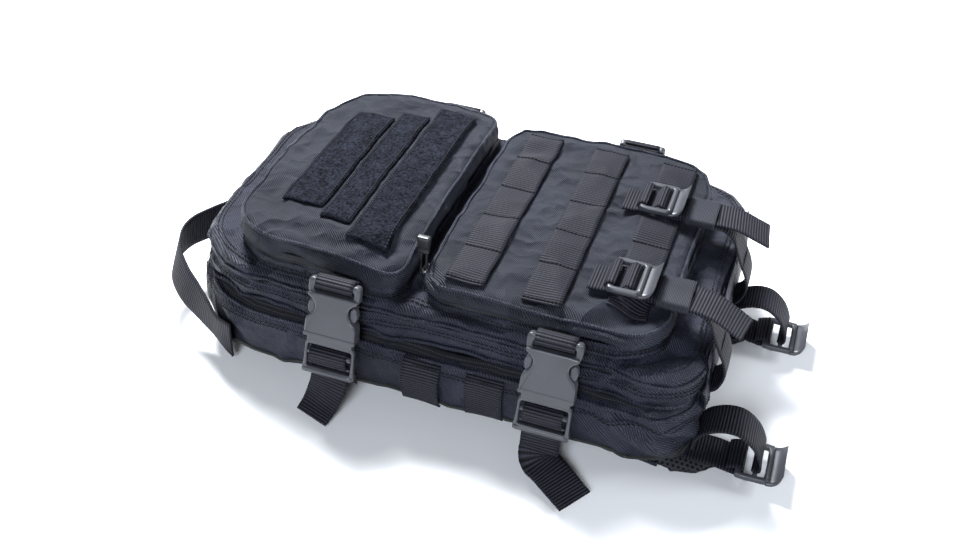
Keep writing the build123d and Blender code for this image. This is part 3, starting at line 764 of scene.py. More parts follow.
for name, plan, low, high, nodes in (("upper_gusset", UPPER, Z_FRONT + 6, Z_UPPER_LIP - 3.4,
                                      ["pocket_gussets"]),
                                     ("lower_gusset", LOWER, Z_FRONT + 6, Z_LOWER_LIP - 3.4, [])):
    bm = drum(plan, [(0.6, low - 1, 0), (1.6, (low + high) / 2, 0), (0.4, high, 0)], GUSSET_CLOTH, 2.2 * MM,
              3 * MM, shut=(False, False))
    hand_over(bm, name, [NYLON, LINING], "front_section", nodes, thick=1.4 * MM, lined=True)
print("shells", [len(o.data.vertices) for o in (main_skin, middle_skin, front_skin, upper_face, lower_face)])


# %% [markdown]
# Everything sewn on must lie on cloth that is no longer flat, so its place is found by dropping a
# ray on the shell below it. The ray gives the point and the way that the cloth faces there.

# %% Finding the cloth
from mathutils.bvhtree import BVHTree


class Ground:
    """The outer face of a piece, for finding where something sewn on it lies."""

    def __init__(self, *pieces):
        self.trees = [BVHTree.FromPolygons([v.co for v in p.data.vertices],
                                           [f.vertices for f in p.data.polygons]) for p in pieces]

    def cast(self, start, way):
        hits = [t.ray_cast(start, way) for t in self.trees]
        hits = [h for h in hits if h[0] is not None]
        if not hits:
            return None
        point, normal, _, _ = min(hits, key=lambda h: h[3])
        return point, normal if normal.dot(way) < 0 else -normal

    def above(self, x, y, proud=0.0):
        point, normal = self.cast(Vector((x, y, 0.2)), Vector((0, 0, -1))) or (Vector((x, y, 0)),
                                                                               Vector((0, 0, 1)))
        return point + Vector((0, 0, proud))

    def beside(self, x, z, side, proud=0.0):
        start = Vector((x, side * 0.2, z))
        found = self.cast(start, Vector((0, -side, 0)))
        return (found[0] if found else Vector((x, side * 0.1, z))) + Vector((0, side * proud, 0))


upper_ground = Ground(upper_face)
lower_ground = Ground(lower_face)
main_ground = Ground(main_skin)
front_ground = Ground(front_skin)


def laid_strip(ground, a, b, width, proud, columns=8, pitch=3 * MM, puff=0.0, tacks=0):
    """A strip from a to b, dropped on the cloth below and puffed up between its tacks."""
    a, b = Vector((*a, 0)), Vector((*b, 0))
    way = (b - a).normalized()
    side = Vector((way.y, -way.x, 0))
    rows = max(2, round((b - a).length / pitch))
    bm = bmesh.new()
    bmesh.ops.create_grid(bm, x_segments=columns, y_segments=rows, size=1)
    cloth_map = bm.loops.layers.uv.verify()
    for face in bm.faces:
        for loop in face.loops:
            x, y, _ = loop.vert.co
            loop[cloth_map].uv = (x * width / 2, (y + 1) / 2 * (b - a).length)
    for vert in bm.verts:
        x, share = vert.co.x, (vert.co.y + 1) / 2
        flat = a.lerp(b, share) + side * x * width / 2
        rise = puff * abs(math.sin(math.pi * share * tacks)) ** 0.6 if tacks else 0
        vert.co = ground.above(flat.x, flat.y, proud + rise * (1 - 0.35 * x * x))
    for _ in range(2):
        bmesh.ops.smooth_vert(bm, verts=bm.verts, factor=0.5, use_axis_x=False, use_axis_y=False,
                              use_axis_z=True)
    return bm


# %% [markdown]
# Three fields of loop pile cross the upper pocket for patches. Each is cut a little short, sewn
# round its edge, and sits a pile's height above the cloth. Two ride on the flap, and the third
# stays on the base beyond the fold.

# %% Loop fields
field_low, field_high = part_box("flap_loop_fields")
base_low, base_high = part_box("base_loop_field")
FIELDS = [("loop_field_1", field_low.x, field_low.x + 29 * MM, 62 * MM, "upper_flap", ["flap_loop_fields"]),
          ("loop_field_2", field_high.x - 21 * MM, field_high.x, 72 * MM, "upper_flap", []),
          ("loop_field_3", base_low.x, base_high.x, 86 * MM, "front_section", ["base_loop_field"])]
seams = {"upper_flap": [], "front_section": [], "lower_flap": []}
for name, low, high, half, body, nodes in FIELDS:
    middle = (low + high) / 2
    bm = laid_strip(upper_ground, (middle, -half), (middle, half), high - low, 1.1 * MM, columns=12,
                    pitch=2.4 * MM)
    for vert in bm.verts:
        edge = min(vert.co.x - low, high - vert.co.x, vert.co.y + half, half - vert.co.y)
        vert.co.z += 0.5 * MM * min(1, edge / (2.5 * MM)) + 0.25 * MM * noise.noise(vert.co * 300)
    hand_over(bm, name, [LOOP], body, nodes, thick=1.4 * MM)
    for x in (low + 1.6 * MM, high - 1.6 * MM):
        seams[body].append([upper_ground.above(x, half * (n / 12 - 1) * 0.98, 2.0 * MM) for n in range(25)])

# %% [markdown]
# Rows of webbing cross the lower pocket for clipping things on. Each row is sewn down every 38 mm
# or so and lies a little slack between, and its near end stops at the pocket's edge.

# %% Webbing rows
row_low, row_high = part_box("flap_webbing_rows")
base_row_low, base_row_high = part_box("base_webbing_row")
ROWS = [("webbing_row_1", row_low.x, row_low.x + WEB, "lower_flap", ["flap_webbing_rows"]),
        ("webbing_row_2", row_high.x - WEB, row_high.x, "lower_flap", []),
        ("webbing_row_3", base_row_low.x, base_row_high.x, "front_section", ["base_webbing_row"])]
reach = row_high.y
for name, low, high, body, nodes in ROWS:
    middle = (low + high) / 2
    end = -96 * MM if name != "webbing_row_3" else -reach
    bm = laid_strip(lower_ground, (middle, end), (middle, reach + 4 * MM), high - low, 1.3 * MM, columns=10,
                    pitch=2.2 * MM, puff=1.7 * MM, tacks=5)
    hand_over(bm, name, [WEBBING], body, nodes, laid=True, thick=WEB_THICK)
    for n in range(6):
        y = end + (reach + 4 * MM - end) * n / 5
        y += 2 * MM if n == 0 else (-2 * MM if n == 5 else 0)
        seams[body].append([lower_ground.above(low + (high - low) * k / 8, y, 2.5 * MM) for k in range(9)])

for body, lines in seams.items():
    bm = stitches(lines, (0, 0, 1), pitch=2.6 * MM, width=0.7 * MM)
    hand_over(bm, "top_seams_" + body, [THREAD], body)

# %% [markdown]
# Where two panels meet, the seam is bound over a cord, which gives the bag its drawn outlines. A
# piping is a tube laid round a layer at one height. The wide binding beside it is stitched twice.

# %% Pipings and bound edges
def ring_line(plan, out, height, cloth, tilt=0.0, shares=(0.0, 1.0), count=150):
    """Points round a layer at one height, lying as its cloth does."""
    points = []
    for number in range(count + 1):
        share = shares[0] + (shares[1] - shares[0]) * number / count
        point, normal = plan.at(share, out * MM)
        point.z = height * MM
        way = (normal * (1 - abs(tilt)) + Vector((0, 0, tilt))).normalized()
        points.append(cloth.settle(point, way))
    return points


def piping(name, plan, out, height, cloth, tilt, radius, body, material=None):
    points = ring_line(plan, out, height, cloth, tilt)[:-1]
    bm = tube(points, radius, closed=True, sides=8, pitch=2.6 * MM)
    bmesh.ops.remove_doubles(bm, verts=bm.verts, dist=0.05 * MM)
    return hand_over(bm, name, [material or NYLON], body)


piping("main_rim_piping", MAIN, -1.6, Z_MAIN_ZIP - 0.6, MAIN_CLOTH, 0.4, 1.5 * MM, "main_section")
piping("main_floor_piping", MAIN, 0.2, Z_MAIN + 7, MAIN_CLOTH, -0.2, 1.2 * MM, "main_section", BACKING)
piping("middle_floor_piping", MIDDLE, 0.2, Z_MID + 1.2, MIDDLE_CLOTH, -0.3, 1.5 * MM, "middle_section")
piping("middle_rim_piping", MIDDLE, -0.6, Z_MID_ZIP - 0.8, MIDDLE_CLOTH, 0.4, 1.4 * MM, "middle_section")
piping("front_rim_piping", FRONT, 1.4, Z_FRONT + 1.6, FRONT_CLOTH, 0, 1.4 * MM, "front_section")
piping("upper_gusset_piping", UPPER, 1.6, Z_FRONT + 6.6, GUSSET_CLOTH, 0, 1.3 * MM, "front_section")
piping("lower_gusset_piping", LOWER, 1.6, Z_FRONT + 6.6, GUSSET_CLOTH, 0, 1.3 * MM, "front_section")

def crosses_fold(piece):
    """A piece that runs over a pocket's fold has its placement baked into its mesh; it rides on neither the
    flap nor the board.
    """
    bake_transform(piece)


UPPER_FOLD, LOWER_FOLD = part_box("upper_pocket_base")[0].x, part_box("lower_pocket_base")[0].x
for name, plan, cloth, top, flap, fold, before, after in (
        ("upper", UPPER, UPPER_CLOTH, Z_UPPER, "upper_flap", UPPER_FOLD, 1.5, 1.5),
        ("lower", LOWER, LOWER_CLOTH, Z_LOWER, "lower_flap", LOWER_FOLD, 5, 9)):
    crosses_fold(piping(name + "_face_piping", plan, -1.2, top - 2.4, cloth, 0.5, 1.2 * MM, None))

seam_sets = {
    "main_wall_seams": ("main_section", MAIN, MAIN_CLOTH, [(1.6, Z_MAIN_ZIP - 5, 0.1),
                                                           (1.9, Z_MAIN_ZIP - 7.4, 0.05)]),
    "middle_wall_seams": ("middle_section", MIDDLE, MIDDLE_CLOTH,
                          [(1.6, Z_MID_ZIP - 3.4, 0.1), (2.0, Z_MID_ZIP - 5.6, 0)]),
    "front_top_seams": ("front_section", FRONT, FRONT_CLOTH,
                        [(-3.6, Z_FRONT + 7.9, 1), (-6.4, Z_FRONT + 8.4, 1)]),
    "gusset_seams": ("front_section", UPPER, GUSSET_CLOTH, [(2.1, Z_FRONT + 9, 0), (2.0, Z_FRONT + 11, 0)]),
    "lower_gusset_seams": ("front_section", LOWER, GUSSET_CLOTH,
                           [(2.1, Z_FRONT + 9, 0), (2.0, Z_FRONT + 11, 0)])}
for name, (body, plan, cloth, levels) in seam_sets.items():
    lines = [ring_line(plan, out, height, cloth, tilt, count=110) for out, height, tilt in levels]
    centre = Vector(((plan.corners[0][0] + plan.corners[1][0]) / 2, 0, 0))
    up = (0, 0, 1) if "top" in name else (lambda p, c=centre: Vector((p.x - c.x, p.y * 2, 0)))
    bm = stitches(lines, up, pitch=3.2 * MM, width=0.6 * MM, proud=0.25 * MM)
    hand_over(bm, name, [THREAD], body)
print("seams done")


# %% [markdown]
# Buckles and ladder-locks are moulded in acetal, with an even wall and rounded edges. An outline is
# drawn through a few points and softened, then a drum gives it depth, or a ring of extrusions
# bridged to its start leaves a hole.

# %% Moulded shapes
class Outline:
    """A closed outline through points in millimetres, softened at its corners, with a plan's calls."""

    def __init__(self, points, soften=2, count=96):
        corners = [Vector((x * MM, y * MM, 0)) for x, y in points]
        runs = [(b - a).length for a, b in zip(corners, corners[1:] + corners[:1])]
        self.length, self.count, marks = sum(runs), count, []
        for number in range(count):
            distance, index = self.length * number / count, 0
            while distance > runs[index] and index < len(runs) - 1:
                distance -= runs[index]
                index += 1
            marks.append(corners[index].lerp(corners[(index + 1) % len(corners)],
                                             distance / max(runs[index], 1e-9)))
        for _ in range(soften):
            marks = [(marks[n - 1] + 2 * marks[n] + marks[(n + 1) % count]) / 4 for n in range(count)]
        self.marks = marks

    def at(self, share, out=0.0):
        place = (share % 1.0) * self.count
        low, part = int(place) % self.count, place % 1
        point = self.marks[low].lerp(self.marks[(low + 1) % self.count], part)
        way = (self.marks[(low + 2) % self.count] - self.marks[low - 1]).normalized()
        normal = Vector((way.y, -way.x, 0))
        return point + normal * out, normal


def mirrored(points):
    """Points of one half, from the middle of the right side up and over, with the other half added."""
    return points + [(-x, y) for x, y in reversed(points)]


def block_of(outline, low, high, edge=0.8, segments=96):
    """A solid of one outline with rounded edges."""
    keys = [(-edge, low, 0), (-0.3 * edge, low + 0.3 * edge, 0), (0, low + edge, 0), (0, high - edge, 0),
            (-0.3 * edge, high - 0.3 * edge, 0), (-edge, high, 0)]
    return drum(outline, keys, FLAT, step=0.5 * MM, pitch=outline.length / segments, shut=(True, True))


def ring_of(outer, inner, low, high, edge=0.7, segments=96):
    """A plate with a hole: outside wall, face, hole wall and back, bridged to where it began."""
    sections = [(outer, -edge, low), (outer, -edge * 0.3, low + edge * 0.3), (outer, 0, low + edge),
                (outer, 0, high - edge),
                (outer, -edge * 0.3, high - edge * 0.3), (outer, -edge, high), (inner, edge, high),
                (inner, edge * 0.3, high - edge * 0.3),
                (inner, 0, high - edge), (inner, 0, low + edge), (inner, edge * 0.3, low + edge * 0.3),
                (inner, edge, low)]
    bm = bmesh.new()
    bmesh.ops.create_circle(bm, segments=segments, radius=1)
    place = bm.verts.layers.float.new("share")
    bm.verts.ensure_lookup_table()
    for number, vert in enumerate(bm.verts):
        vert[place] = number / segments
    first, edges, ring = list(bm.edges), list(bm.edges), list(bm.verts)
    for number, (outline, out, height) in enumerate(sections):
        if number:
            made = bmesh.ops.extrude_edge_only(bm, edges=edges)["geom"]
            ring = [g for g in made if isinstance(g, bmesh.types.BMVert)]
            edges = [g for g in made if isinstance(g, bmesh.types.BMEdge)]
        for vert in ring:
            vert.co = outline.at(vert[place], out * MM)[0] + Vector((0, 0, height * MM))
    bmesh.ops.bridge_loops(bm, edges=first + edges)
    bmesh.ops.recalc_face_normals(bm, faces=bm.faces)
    return bm


def bar(a, b, radius):
    """A round bar between two points in millimetres."""
    return tube([Vector(a) * MM, (Vector(a) + Vector(b)) / 2 * MM, Vector(b) * MM], radius * MM, sides=12,
                pitch=4 * MM)


# %% [markdown]
# A side-release buckle has a socket with a waist on each side, where the fingers press the plug's
# two prongs. The socket hangs from the front board, and the plug below it carries the compression
# strap on its ladder.

# %% Buckle shapes
def socket_mesh():
    loop_out = Outline([(17.3, -5), (17.4, 0), (16.4, 2.3), (13.8, 2.6), (12.2, 1.9), (-12.2, 1.9),
                        (-13.8, 2.6), (-16.4, 2.3),
                        (-17.4, 0), (-17.3, -5), (-16.6, -9), (-13, -10), (13, -10), (16.6, -9)], 1)
    slot = Outline([(13.3, -4.2), (13.1, -1.9), (-13.1, -1.9), (-13.3, -4.2), (-13.1, -6.3), (13.1, -6.3)], 1)
    half = [(17.1, -30), (17.0, -26), (16.0, -23.4), (12.8, -20.8), (11.0, -16.6), (11.4, -13.2),
            (13.8, -10.6), (17.0, -8.8), (16.8, -6.9), (10, -6.4)]
    body = Outline(mirrored(half) + [(-17.4, -36.4), (17.4, -36.4)], 2, 144)
    lip = Outline([(17.7, -35.4), (17.2, -34.0), (-17.2, -34.0), (-17.7, -35.4), (-17.2, -36.8),
                   (17.2, -36.8)], 1)
    window = Outline([(15.4, -15.5), (14.6, -12.4), (13.2, -11.6), (12.4, -15.5), (13.4, -20),
                      (15.0, -19.2)], 2, 48)
    parts = [ring_of(loop_out, slot, -2.6, 3.0, 1.0), block_of(body, -4.8, 4.8, 1.2, 144),
             block_of(lip, -4.9, 5.1, 0.8)]
    for side in (-1, 1):
        rail = block_of(window, -4.2, -3.0, 0.4, 48)
        parts.append(turned(rail, Matrix.Diagonal((side, 1, 1, 1))))
        bmesh.ops.recalc_face_normals(parts[-1], faces=parts[-1].faces)
    return joined(parts)


def plug_mesh():
    ladder = Outline([(17.0, -50), (16.9, -43), (15.8, -40.6), (-15.8, -40.6), (-16.9, -43), (-17.0, -50),
                      (-17.5, -58.6), (-18.2, -61.2),
                      (-17.0, -63.9), (17.0, -63.9), (18.2, -61.2), (17.5, -58.6)], 1)
    hole = Outline([(15.0, -50), (14.8, -43.4), (-14.8, -43.4), (-15.0, -50), (-15.1, -59.4),
                    (15.1, -59.4)], 1)
    collar = Outline([(15.4, -39), (15.2, -36.6), (-15.2, -36.6), (-15.4, -39), (-15.2, -41.6),
                      (15.2, -41.6)], 1)
    wing = Outline([(16.9, -17.5), (16.0, -13.6), (13.8, -11.8), (11.8, -14), (11.8, -19.4), (14.0, -22.4),
                    (16.0, -21.2)], 2, 60)
    parts = [ring_of(ladder, hole, -1.9, 1.9, 0.9), block_of(collar, -3.2, 3.2, 0.8),
             bar((-15, -49, 0), (15, -49, 0), 1.9),
             bar((-15, -56.8, -0.6), (15, -56.8, -0.6), 0.8),
             bar((-17.4, -61.6, 0.6), (17.4, -61.6, 0.6), 1.9)]
    for side in (-1, 1):
        prong = block_of(wing, -2.6, 2.6, 0.9, 60)
        parts.append(turned(prong, Matrix.Diagonal((side, 1, 1, 1))))
        bmesh.ops.recalc_face_normals(parts[-1], faces=parts[-1].faces)
    return joined(parts)


# %% [markdown]
# Every buckle hangs at the same lean on its side of the pack, so one matrix per buckle places its
# pieces. The sockets are one node of the model, and its box gives where the bars are.

# %% Buckles in place
socket_low, socket_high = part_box("buckle_sockets")
LEAN = math.radians(17)
BAR_Y, BAR_Z = 117.0 * MM, socket_high.z - 1.9 * MM
BUCKLES = {"upper": socket_low.x + 17.5 * MM, "lower": socket_high.x - 17.5 * MM}


def buckle_frame(x, side):
    """Local +X across, +Y up the pack's side and +Z out of it."""
    columns = (Vector((-side, 0, 0)), Vector((0, -side * math.sin(LEAN), math.cos(LEAN))),
               Vector((0, side * math.cos(LEAN), math.sin(LEAN))))
    return Matrix.Translation((x, side * BAR_Y, BAR_Z)) @ Matrix(columns).transposed().to_4x4()


sockets = []
for level, x in BUCKLES.items():
    for where, side in (("near", -1), ("far", 1)):
        place = buckle_frame(x, side)
        sockets.append(turned(socket_mesh(), place))
        name = f"{level}_{where}"
        hand_over(turned(plug_mesh(), place), name + "_plug_moulding", [ACETAL], name + "_buckle",
                  [name + "_plug"])
hand_over(joined(sockets), "socket_mouldings", [ACETAL], "main_section", ["buckle_sockets"])

# %% [markdown]
# The webbing of a buckle: a short loop from the board holds the socket, and below, the strap comes
# up behind the ladder from the pack's side, goes over the bar and hangs down as a loose tail with a
# folded end.

# %% Buckle webbing
def placed(place, points):
    return [place @ (Vector(p) * MM) for p in points]


loops, tabs = [], []
for level, x in BUCKLES.items():
    for where, side in (("near", -1), ("far", 1)):
        place = buckle_frame(x, side)
        across = place.to_3x3() @ Vector((1, 0, 0))
        body = f"{level}_{where}_buckle"
        inner = front_ground.above(x, side * 101 * MM, 1.4 * MM)
        edge = placed(place, [(0, -5.0, -3.4), (0, -3.4, 2.6), (0, 0, 3.6), (0, 3.0, 1.2), (0, 3.6, -2.4)])
        loops.append(strip(edge, WEB, across, columns=8, pitch=1.2 * MM))
        root = Vector((x, side * 99 * MM, inner.z + 1.2 * MM))
        tabs.append(strip([root, Vector((x, side * 105 * MM, inner.z + 1.5 * MM)),
                           Vector((x, side * 110.5 * MM, inner.z + 4 * MM)),
                           *placed(place, [(0, 3.0, -5.0)])], WEB, across, columns=8, pitch=1.6 * MM))
        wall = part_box("main_shell")[1].y + 1.6 * MM
        low = [Vector((x, side * wall, 16 * MM)), Vector((x, side * (wall + 1.6 * MM), 26 * MM))]
        behind = placed(place, [(0, -66, -8.5), (0, -58, -5.6), (0, -52, -4.4), (0, -49.5, -3.2)])
        run = hand_over(strip(low + behind, WEB, across, columns=6, pitch=2.5 * MM),
                        f"{level}_{where}_strap_run", [WEBBING],
                        None, ["compression_straps"] if side < 0 and level == "upper" else [],
                        laid=True, thick=WEB_THICK)
        start, end = (low[1] + low[0]) / 2, behind[2]
        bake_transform(run)
        over = placed(place, [(0, -44.6, 0.4), (0, -46.2, 2.8), (0, -49, 3.9), (0, -52.4, 3.2),
                              (0, -55.8, 0.2), (0, -60, -2.6), (0, -64.5, -3.6)])
        tip = over[-1]
        if (level, side) == ("upper", -1):
            fall = [Vector((x - 1 * MM, tip.y - 2.5 * MM, tip.z - 8 * MM)),
                    Vector((x - 3 * MM, tip.y - 4.5 * MM, tip.z - 15 * MM)),
                    Vector((x - 5.5 * MM, tip.y - 8 * MM, 9 * MM)),
                    Vector((x - 8 * MM, tip.y - 15 * MM, 4 * MM))]
            sides = [across] * 8 + [Vector((1, -0.1, 0)), Vector((1, -0.2, 0)), Vector((1, -0.3, 0))]
        elif (level, side) == ("lower", -1):
            fall = [Vector((x, tip.y - 1.5 * MM, tip.z - 9 * MM)),
                    Vector((x + 1 * MM, tip.y - 4 * MM, tip.z - 18 * MM)),
                    Vector((x + 12 * MM, tip.y - 10 * MM, 8.5 * MM)),
                    Vector((x + 30 * MM, -154 * MM, 4 * MM))]
            sides = [across] * 8 + [Vector((1, 0.1, -0.15)), Vector((0.75, 0.62, 0)), Vector((0.55, 0.83, 0))]
        else:
            fall = [Vector((x, tip.y + side * 2 * MM, tip.z - 10 * MM)),
                    Vector((x + 3 * MM, tip.y + side * 5 * MM, tip.z - 19 * MM)),
                    Vector((x + 6 * MM, tip.y + side * 11 * MM, 5 * MM)),
                    Vector((x + 8 * MM, side * (141 if level == "upper" else 154) * MM, 2.4 * MM))]
            level_way = Vector((across.x, across.y, 0))
            sides = [across] * 8 + [level_way + Vector((0, 0.1 * side, 0)),
                                    level_way + Vector((0, 0.2 * side, 0)),
                                    level_way + Vector((0, 0.25 * side, 0))]
        tail = over + fall
        bm = strip(tail, WEB, sides[:len(tail)], columns=8, pitch=1.8 * MM)
        for vert in bm.verts:
            vert.co.z = max(vert.co.z, 1.6 * MM)
        hand_over(bm, f"{level}_{where}_loose_tail", [WEBBING], body,
                  [f"{level}_{where}_tail"], laid=True, thick=WEB_THICK)
hand_over(joined(loops), "socket_loops", [WEBBING], "main_section", ["socket_strap_loops"],
          laid=True, thick=WEB_THICK)
hand_over(joined(tabs), "board_tabs", [WEBBING], "front_section", ["front_tabs"], laid=True,
          thick=WEB_THICK)
print("buckles done")


# %% [markdown]
# A ladder-lock is a small frame with a bar across it and a long curved tab to lift it by. Webbing
# goes over the middle bar, and is nipped there. Two sit on the front board over the lash straps and
# two end the shoulder straps.

# %% Ladder-locks
def lock_mesh():
    outer = Outline([(20, 0), (20, 13), (17.6, 16.6), (3, 17), (-1, 16.2), (-2, 12), (-2, -12), (-1, -16.2),
                     (3, -17), (17.6, -16.6), (20, -13)], 1)
    hole = Outline([(16.6, 0), (16.4, 13.2), (2.0, 13.4), (1.9, 0), (2.0, -13.4), (16.4, -13.2)], 1)
    tab = strip([Vector((17.6, 0, 0.2)) * MM, Vector((21.4, 0, 0.6)) * MM, Vector((24.6, 0, 2.6)) * MM,
                 Vector((26.6, 0, 6.0)) * MM,
                 Vector((27.2, 0, 8.0)) * MM], 32 * MM, (0, 1, 0), columns=10, pitch=1.2 * MM,
                 taper=lambda s: 1.04 - 0.2 * s ** 3)
    bmesh.ops.solidify(tab, geom=tab.faces[:], thickness=1.9 * MM)
    bmesh.ops.recalc_face_normals(tab, faces=tab.faces)
    rims = [bar((10.4, -13.6, 0.4), (10.4, 13.6, 0.4), 1.6), bar((0, -16, 0), (0, 16, 0), 1.9),
            bar((18.4, -15.6, 0.6), (18.4, 15.6, 0.6), 1.7)]
    return joined([ring_of(outer, hole, -1.9, 1.9, 0.9), tab, *rims])


LOCKS = {"near_adjuster": "near_adjuster", "far_adjuster": "far_adjuster", "near_lash": "near_lash_lock",
         "far_lash": "far_lash_lock"}
lock_at = {}
for body, node in LOCKS.items():
    low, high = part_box(node)
    lock_at[body] = Matrix.Translation((low.x + 1.9 * MM, (low.y + high.y) / 2, low.z + 2 * MM))
    hand_over(turned(lock_mesh(), lock_at[body]), node + "_moulding", [ACETAL], body, [node])

# %% [markdown]
# The lash straps hold the stack shut. Each comes up from the main bag, round the base and in under
# its lock, and its tail comes back out over it, held down by a band of elastic. Two joints cross
# it, so it is made in two runs.

# %% Lash straps
anchors = []
for where in ("near", "far"):
    place = lock_at[where + "_lash"]
    across = Vector((0, 1, 0))
    y = place.translation.y

    def at(x, z, dy=0.0, y=y):
        return Vector((x * MM, y + dy * MM, z * MM))

    anchors.append(strip([at(94.6, 106.6), at(92, 107.6), at(90.9, 110), at(92.4, 112.4), at(94.6, 112.9),
                          at(96.6, 111.6)],
                         WEB, across, columns=8, pitch=1.2 * MM))
    anchors.append(strip([at(95, 106.4), at(88, 104.8), at(80, 104.6)], WEB, across, columns=8,
                         pitch=1.5 * MM))
    outer_run = strip([at(104, 104.9), at(116, 105.0), at(134, 105.0), at(148, 104.4), at(157, 99),
                       at(162, 88), at(166.5, 78)],
                      WEB, across, columns=8, pitch=1.8 * MM, bow=0.3 * MM)
    run = hand_over(outer_run, where + "_lash_run_over", [WEBBING_LIGHT], None,
                    ["lash_straps"] if where == "near" else [],
                    laid=True, thick=1.3 * MM)
    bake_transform(run)
    inner_run = strip([at(166.4, 78.4), at(170.4, 70), at(172.4, 60), at(169.4, 50), at(164.4, 45),
                       at(163.2, 40)], WEB, across,
                      columns=8, pitch=1.8 * MM, bow=-0.3 * MM)
    run = hand_over(inner_run, where + "_lash_run_under", [WEBBING_LIGHT], None, [], laid=True,
                    thick=1.3 * MM)
    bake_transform(run)
    skew = -3.0 if where == "near" else 2.0
    tail = [at(96.5, 107.2), at(99.8, 107.4), at(101.8, 110), at(104.4, 112.8), at(107.4, 111.4),
            at(109.6, 108.2), at(116, 107.0),
            at(128, 107.0), at(144, 106.8, skew * 0.5), at(158, 105.4, skew), at(170, 100.5, skew * 1.6),
            at(179, 96.5, skew * 2.2)]
    hand_over(strip(tail, WEB, across, columns=8, pitch=1.5 * MM, bow=0.3 * MM), where + "_lash_end",
              [WEBBING_LIGHT], where + "_lash",
              [where + "_lash_tail"], laid=True, thick=1.3 * MM)
    band = Outline([(14.2, 0), (13.8, 2.5), (0, 3.3), (-13.8, 2.5), (-14.2, 0), (-13.8, -2.4), (0, -2.4),
                    (13.8, -2.4)], 2, 64)
    keeper = drum(band, [(0, -10, 0), (0.3, -9.4, 0), (0.25, 0, 0), (0.3, 9.4, 0), (0, 10, 0)], FLAT,
                  1.2 * MM, 1.4 * MM, shut=(False, False))
    basis = Matrix((Vector((0, 1, 0)), Vector((0, 0, 1)), Vector((1, 0, 0)))).transposed().to_4x4()
    turned(keeper, Matrix.Translation(at(133, 105.9)) @ basis)
    cloth_map = keeper.loops.layers.uv.verify()
    for face in keeper.faces:
        for loop in face.loops:
            loop[cloth_map].uv = (loop.vert.co.y, loop.vert.co.x)
    hand_over(keeper, where + "_elastic_keeper", [ELASTIC], where + "_lash",
              [where + "_lash_keeper"], laid=True, thick=0.8 * MM)
hand_over(joined(anchors), "lash_anchor_loops", [WEBBING], "front_section", [], laid=True,
          thick=1.3 * MM)

# %% [markdown]
# The grab handle is one piece of webbing, sewn low on the near corner with its end spread, and
# looped out past the top to its far root. It bends where it leaves the bag.

# %% Grab handle
def hp(x, y, z):
    return Vector((x * MM, y * MM, z * MM))


path = [hp(-148, -118, 22), hp(-159, -113.5, 24), hp(-170, -107, 27), hp(-184, -99, 32), hp(-199, -90, 37),
        hp(-212, -77, 41), hp(-219, -61, 43),
        hp(-219, -44, 44), hp(-212, -26, 43), hp(-205, -8, 41), hp(-201, 10, 39), hp(-198.6, 28, 38),
        hp(-197.6, 46, 37)]
sides = [Vector(v) for v in ((-0.25, 0, 1), (-0.2, 0, 1), (-0.15, 0.1, 1), (-0.1, 0.25, 1), (0.0, 0.4, 1),
                             (0.1, 0.45, 1), (0.15, 0.4, 1), (0.15, 0.2, 1),
                             (0.05, 0.1, 1), (0, 0, 1), (0, 0, 1), (0, 0, 1), (0, 0, 1))]
bm = strip(path, WEB, sides, columns=10, pitch=1.8 * MM, bow=0.4 * MM,
           taper=lambda s: 1.0 + 0.35 * max(0.0, 1 - 12 * s))
handle = hand_over(bm, "handle_webbing", [WEBBING], None, ["grab_handle"], laid=True,
                   thick=1.7 * MM)
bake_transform(handle)

# %% [markdown]
# Patches of webbing are sewn down both sides of the main bag for more pouches. The first hangs a
# little open.

# %% Side patches
side_low, side_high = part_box("side_webbing")
patches, marks = [], []
for side in (-1, 1):
    for number, x in enumerate((side_low.x + 12.5 * MM, side_high.x - 12.5 * MM)):
        slack = (2.6, 1.2)[number] * MM
        heights = [50.5, 48.5, 45, 39, 33, 27, 21, 17, 14.8]
        puffs = [0.2, 0.6, 0.8, 1.0, 1.0, 1.0, 0.9, 0.6, 0.2]
        points = [main_ground.beside(x, h * MM, side, (0.9 * MM + slack * p)) for h, p in zip(heights, puffs)]
        lean = Vector((1, 0, 0.04 if number else -0.05))
        patches.append(strip(points, WEB, lean * side * -1, columns=8, pitch=1.8 * MM, bow=0.5 * MM))
        for h in (48,):
            marks.append([main_ground.beside(x + k * 2.8 * MM, h * MM, side, 2.6 * MM) for k in range(-4, 5)])
hand_over(joined(patches), "side_patches", [WEBBING], "main_section", ["side_webbing"],
          laid=True, thick=WEB_THICK)
hand_over(stitches(marks, lambda p: Vector((0, p.y, 0)), 2.6 * MM, 0.7 * MM), "side_patch_seams", [THREAD],
          "main_section")

# %% [markdown]
# Zips are spiral coil on a woven tape. Up close the coil is a row of small ribs, so it is a narrow
# bowed strip with a fine rib map, lying on a wider flat tape between the layers.

# %% Zips
def zip_shares(plan, end):
    shares = [n / 800 for n in range(800) if plan.at(n / 800)[0].x <= end]
    return min(shares), max(shares)


# Through ribbed, the coil's rib tops are painted lighter as highlight and the gaps between them near black as
# shade; the tape gets the same, more faintly.
ZIP_TEETH = ribbed("zip_teeth", (0.006, 0.006, 0.008, 1), (0.075, 0.078, 0.088, 1), row=1.5 * MM,
                   column=2.4 * MM, height=0.5 * MM)
ZIP_TAPE = ribbed("zip_tape", (0.006, 0.0065, 0.008, 1), (0.022, 0.023, 0.028, 1), row=0.8 * MM,
                  column=9 * MM, height=0.15 * MM)


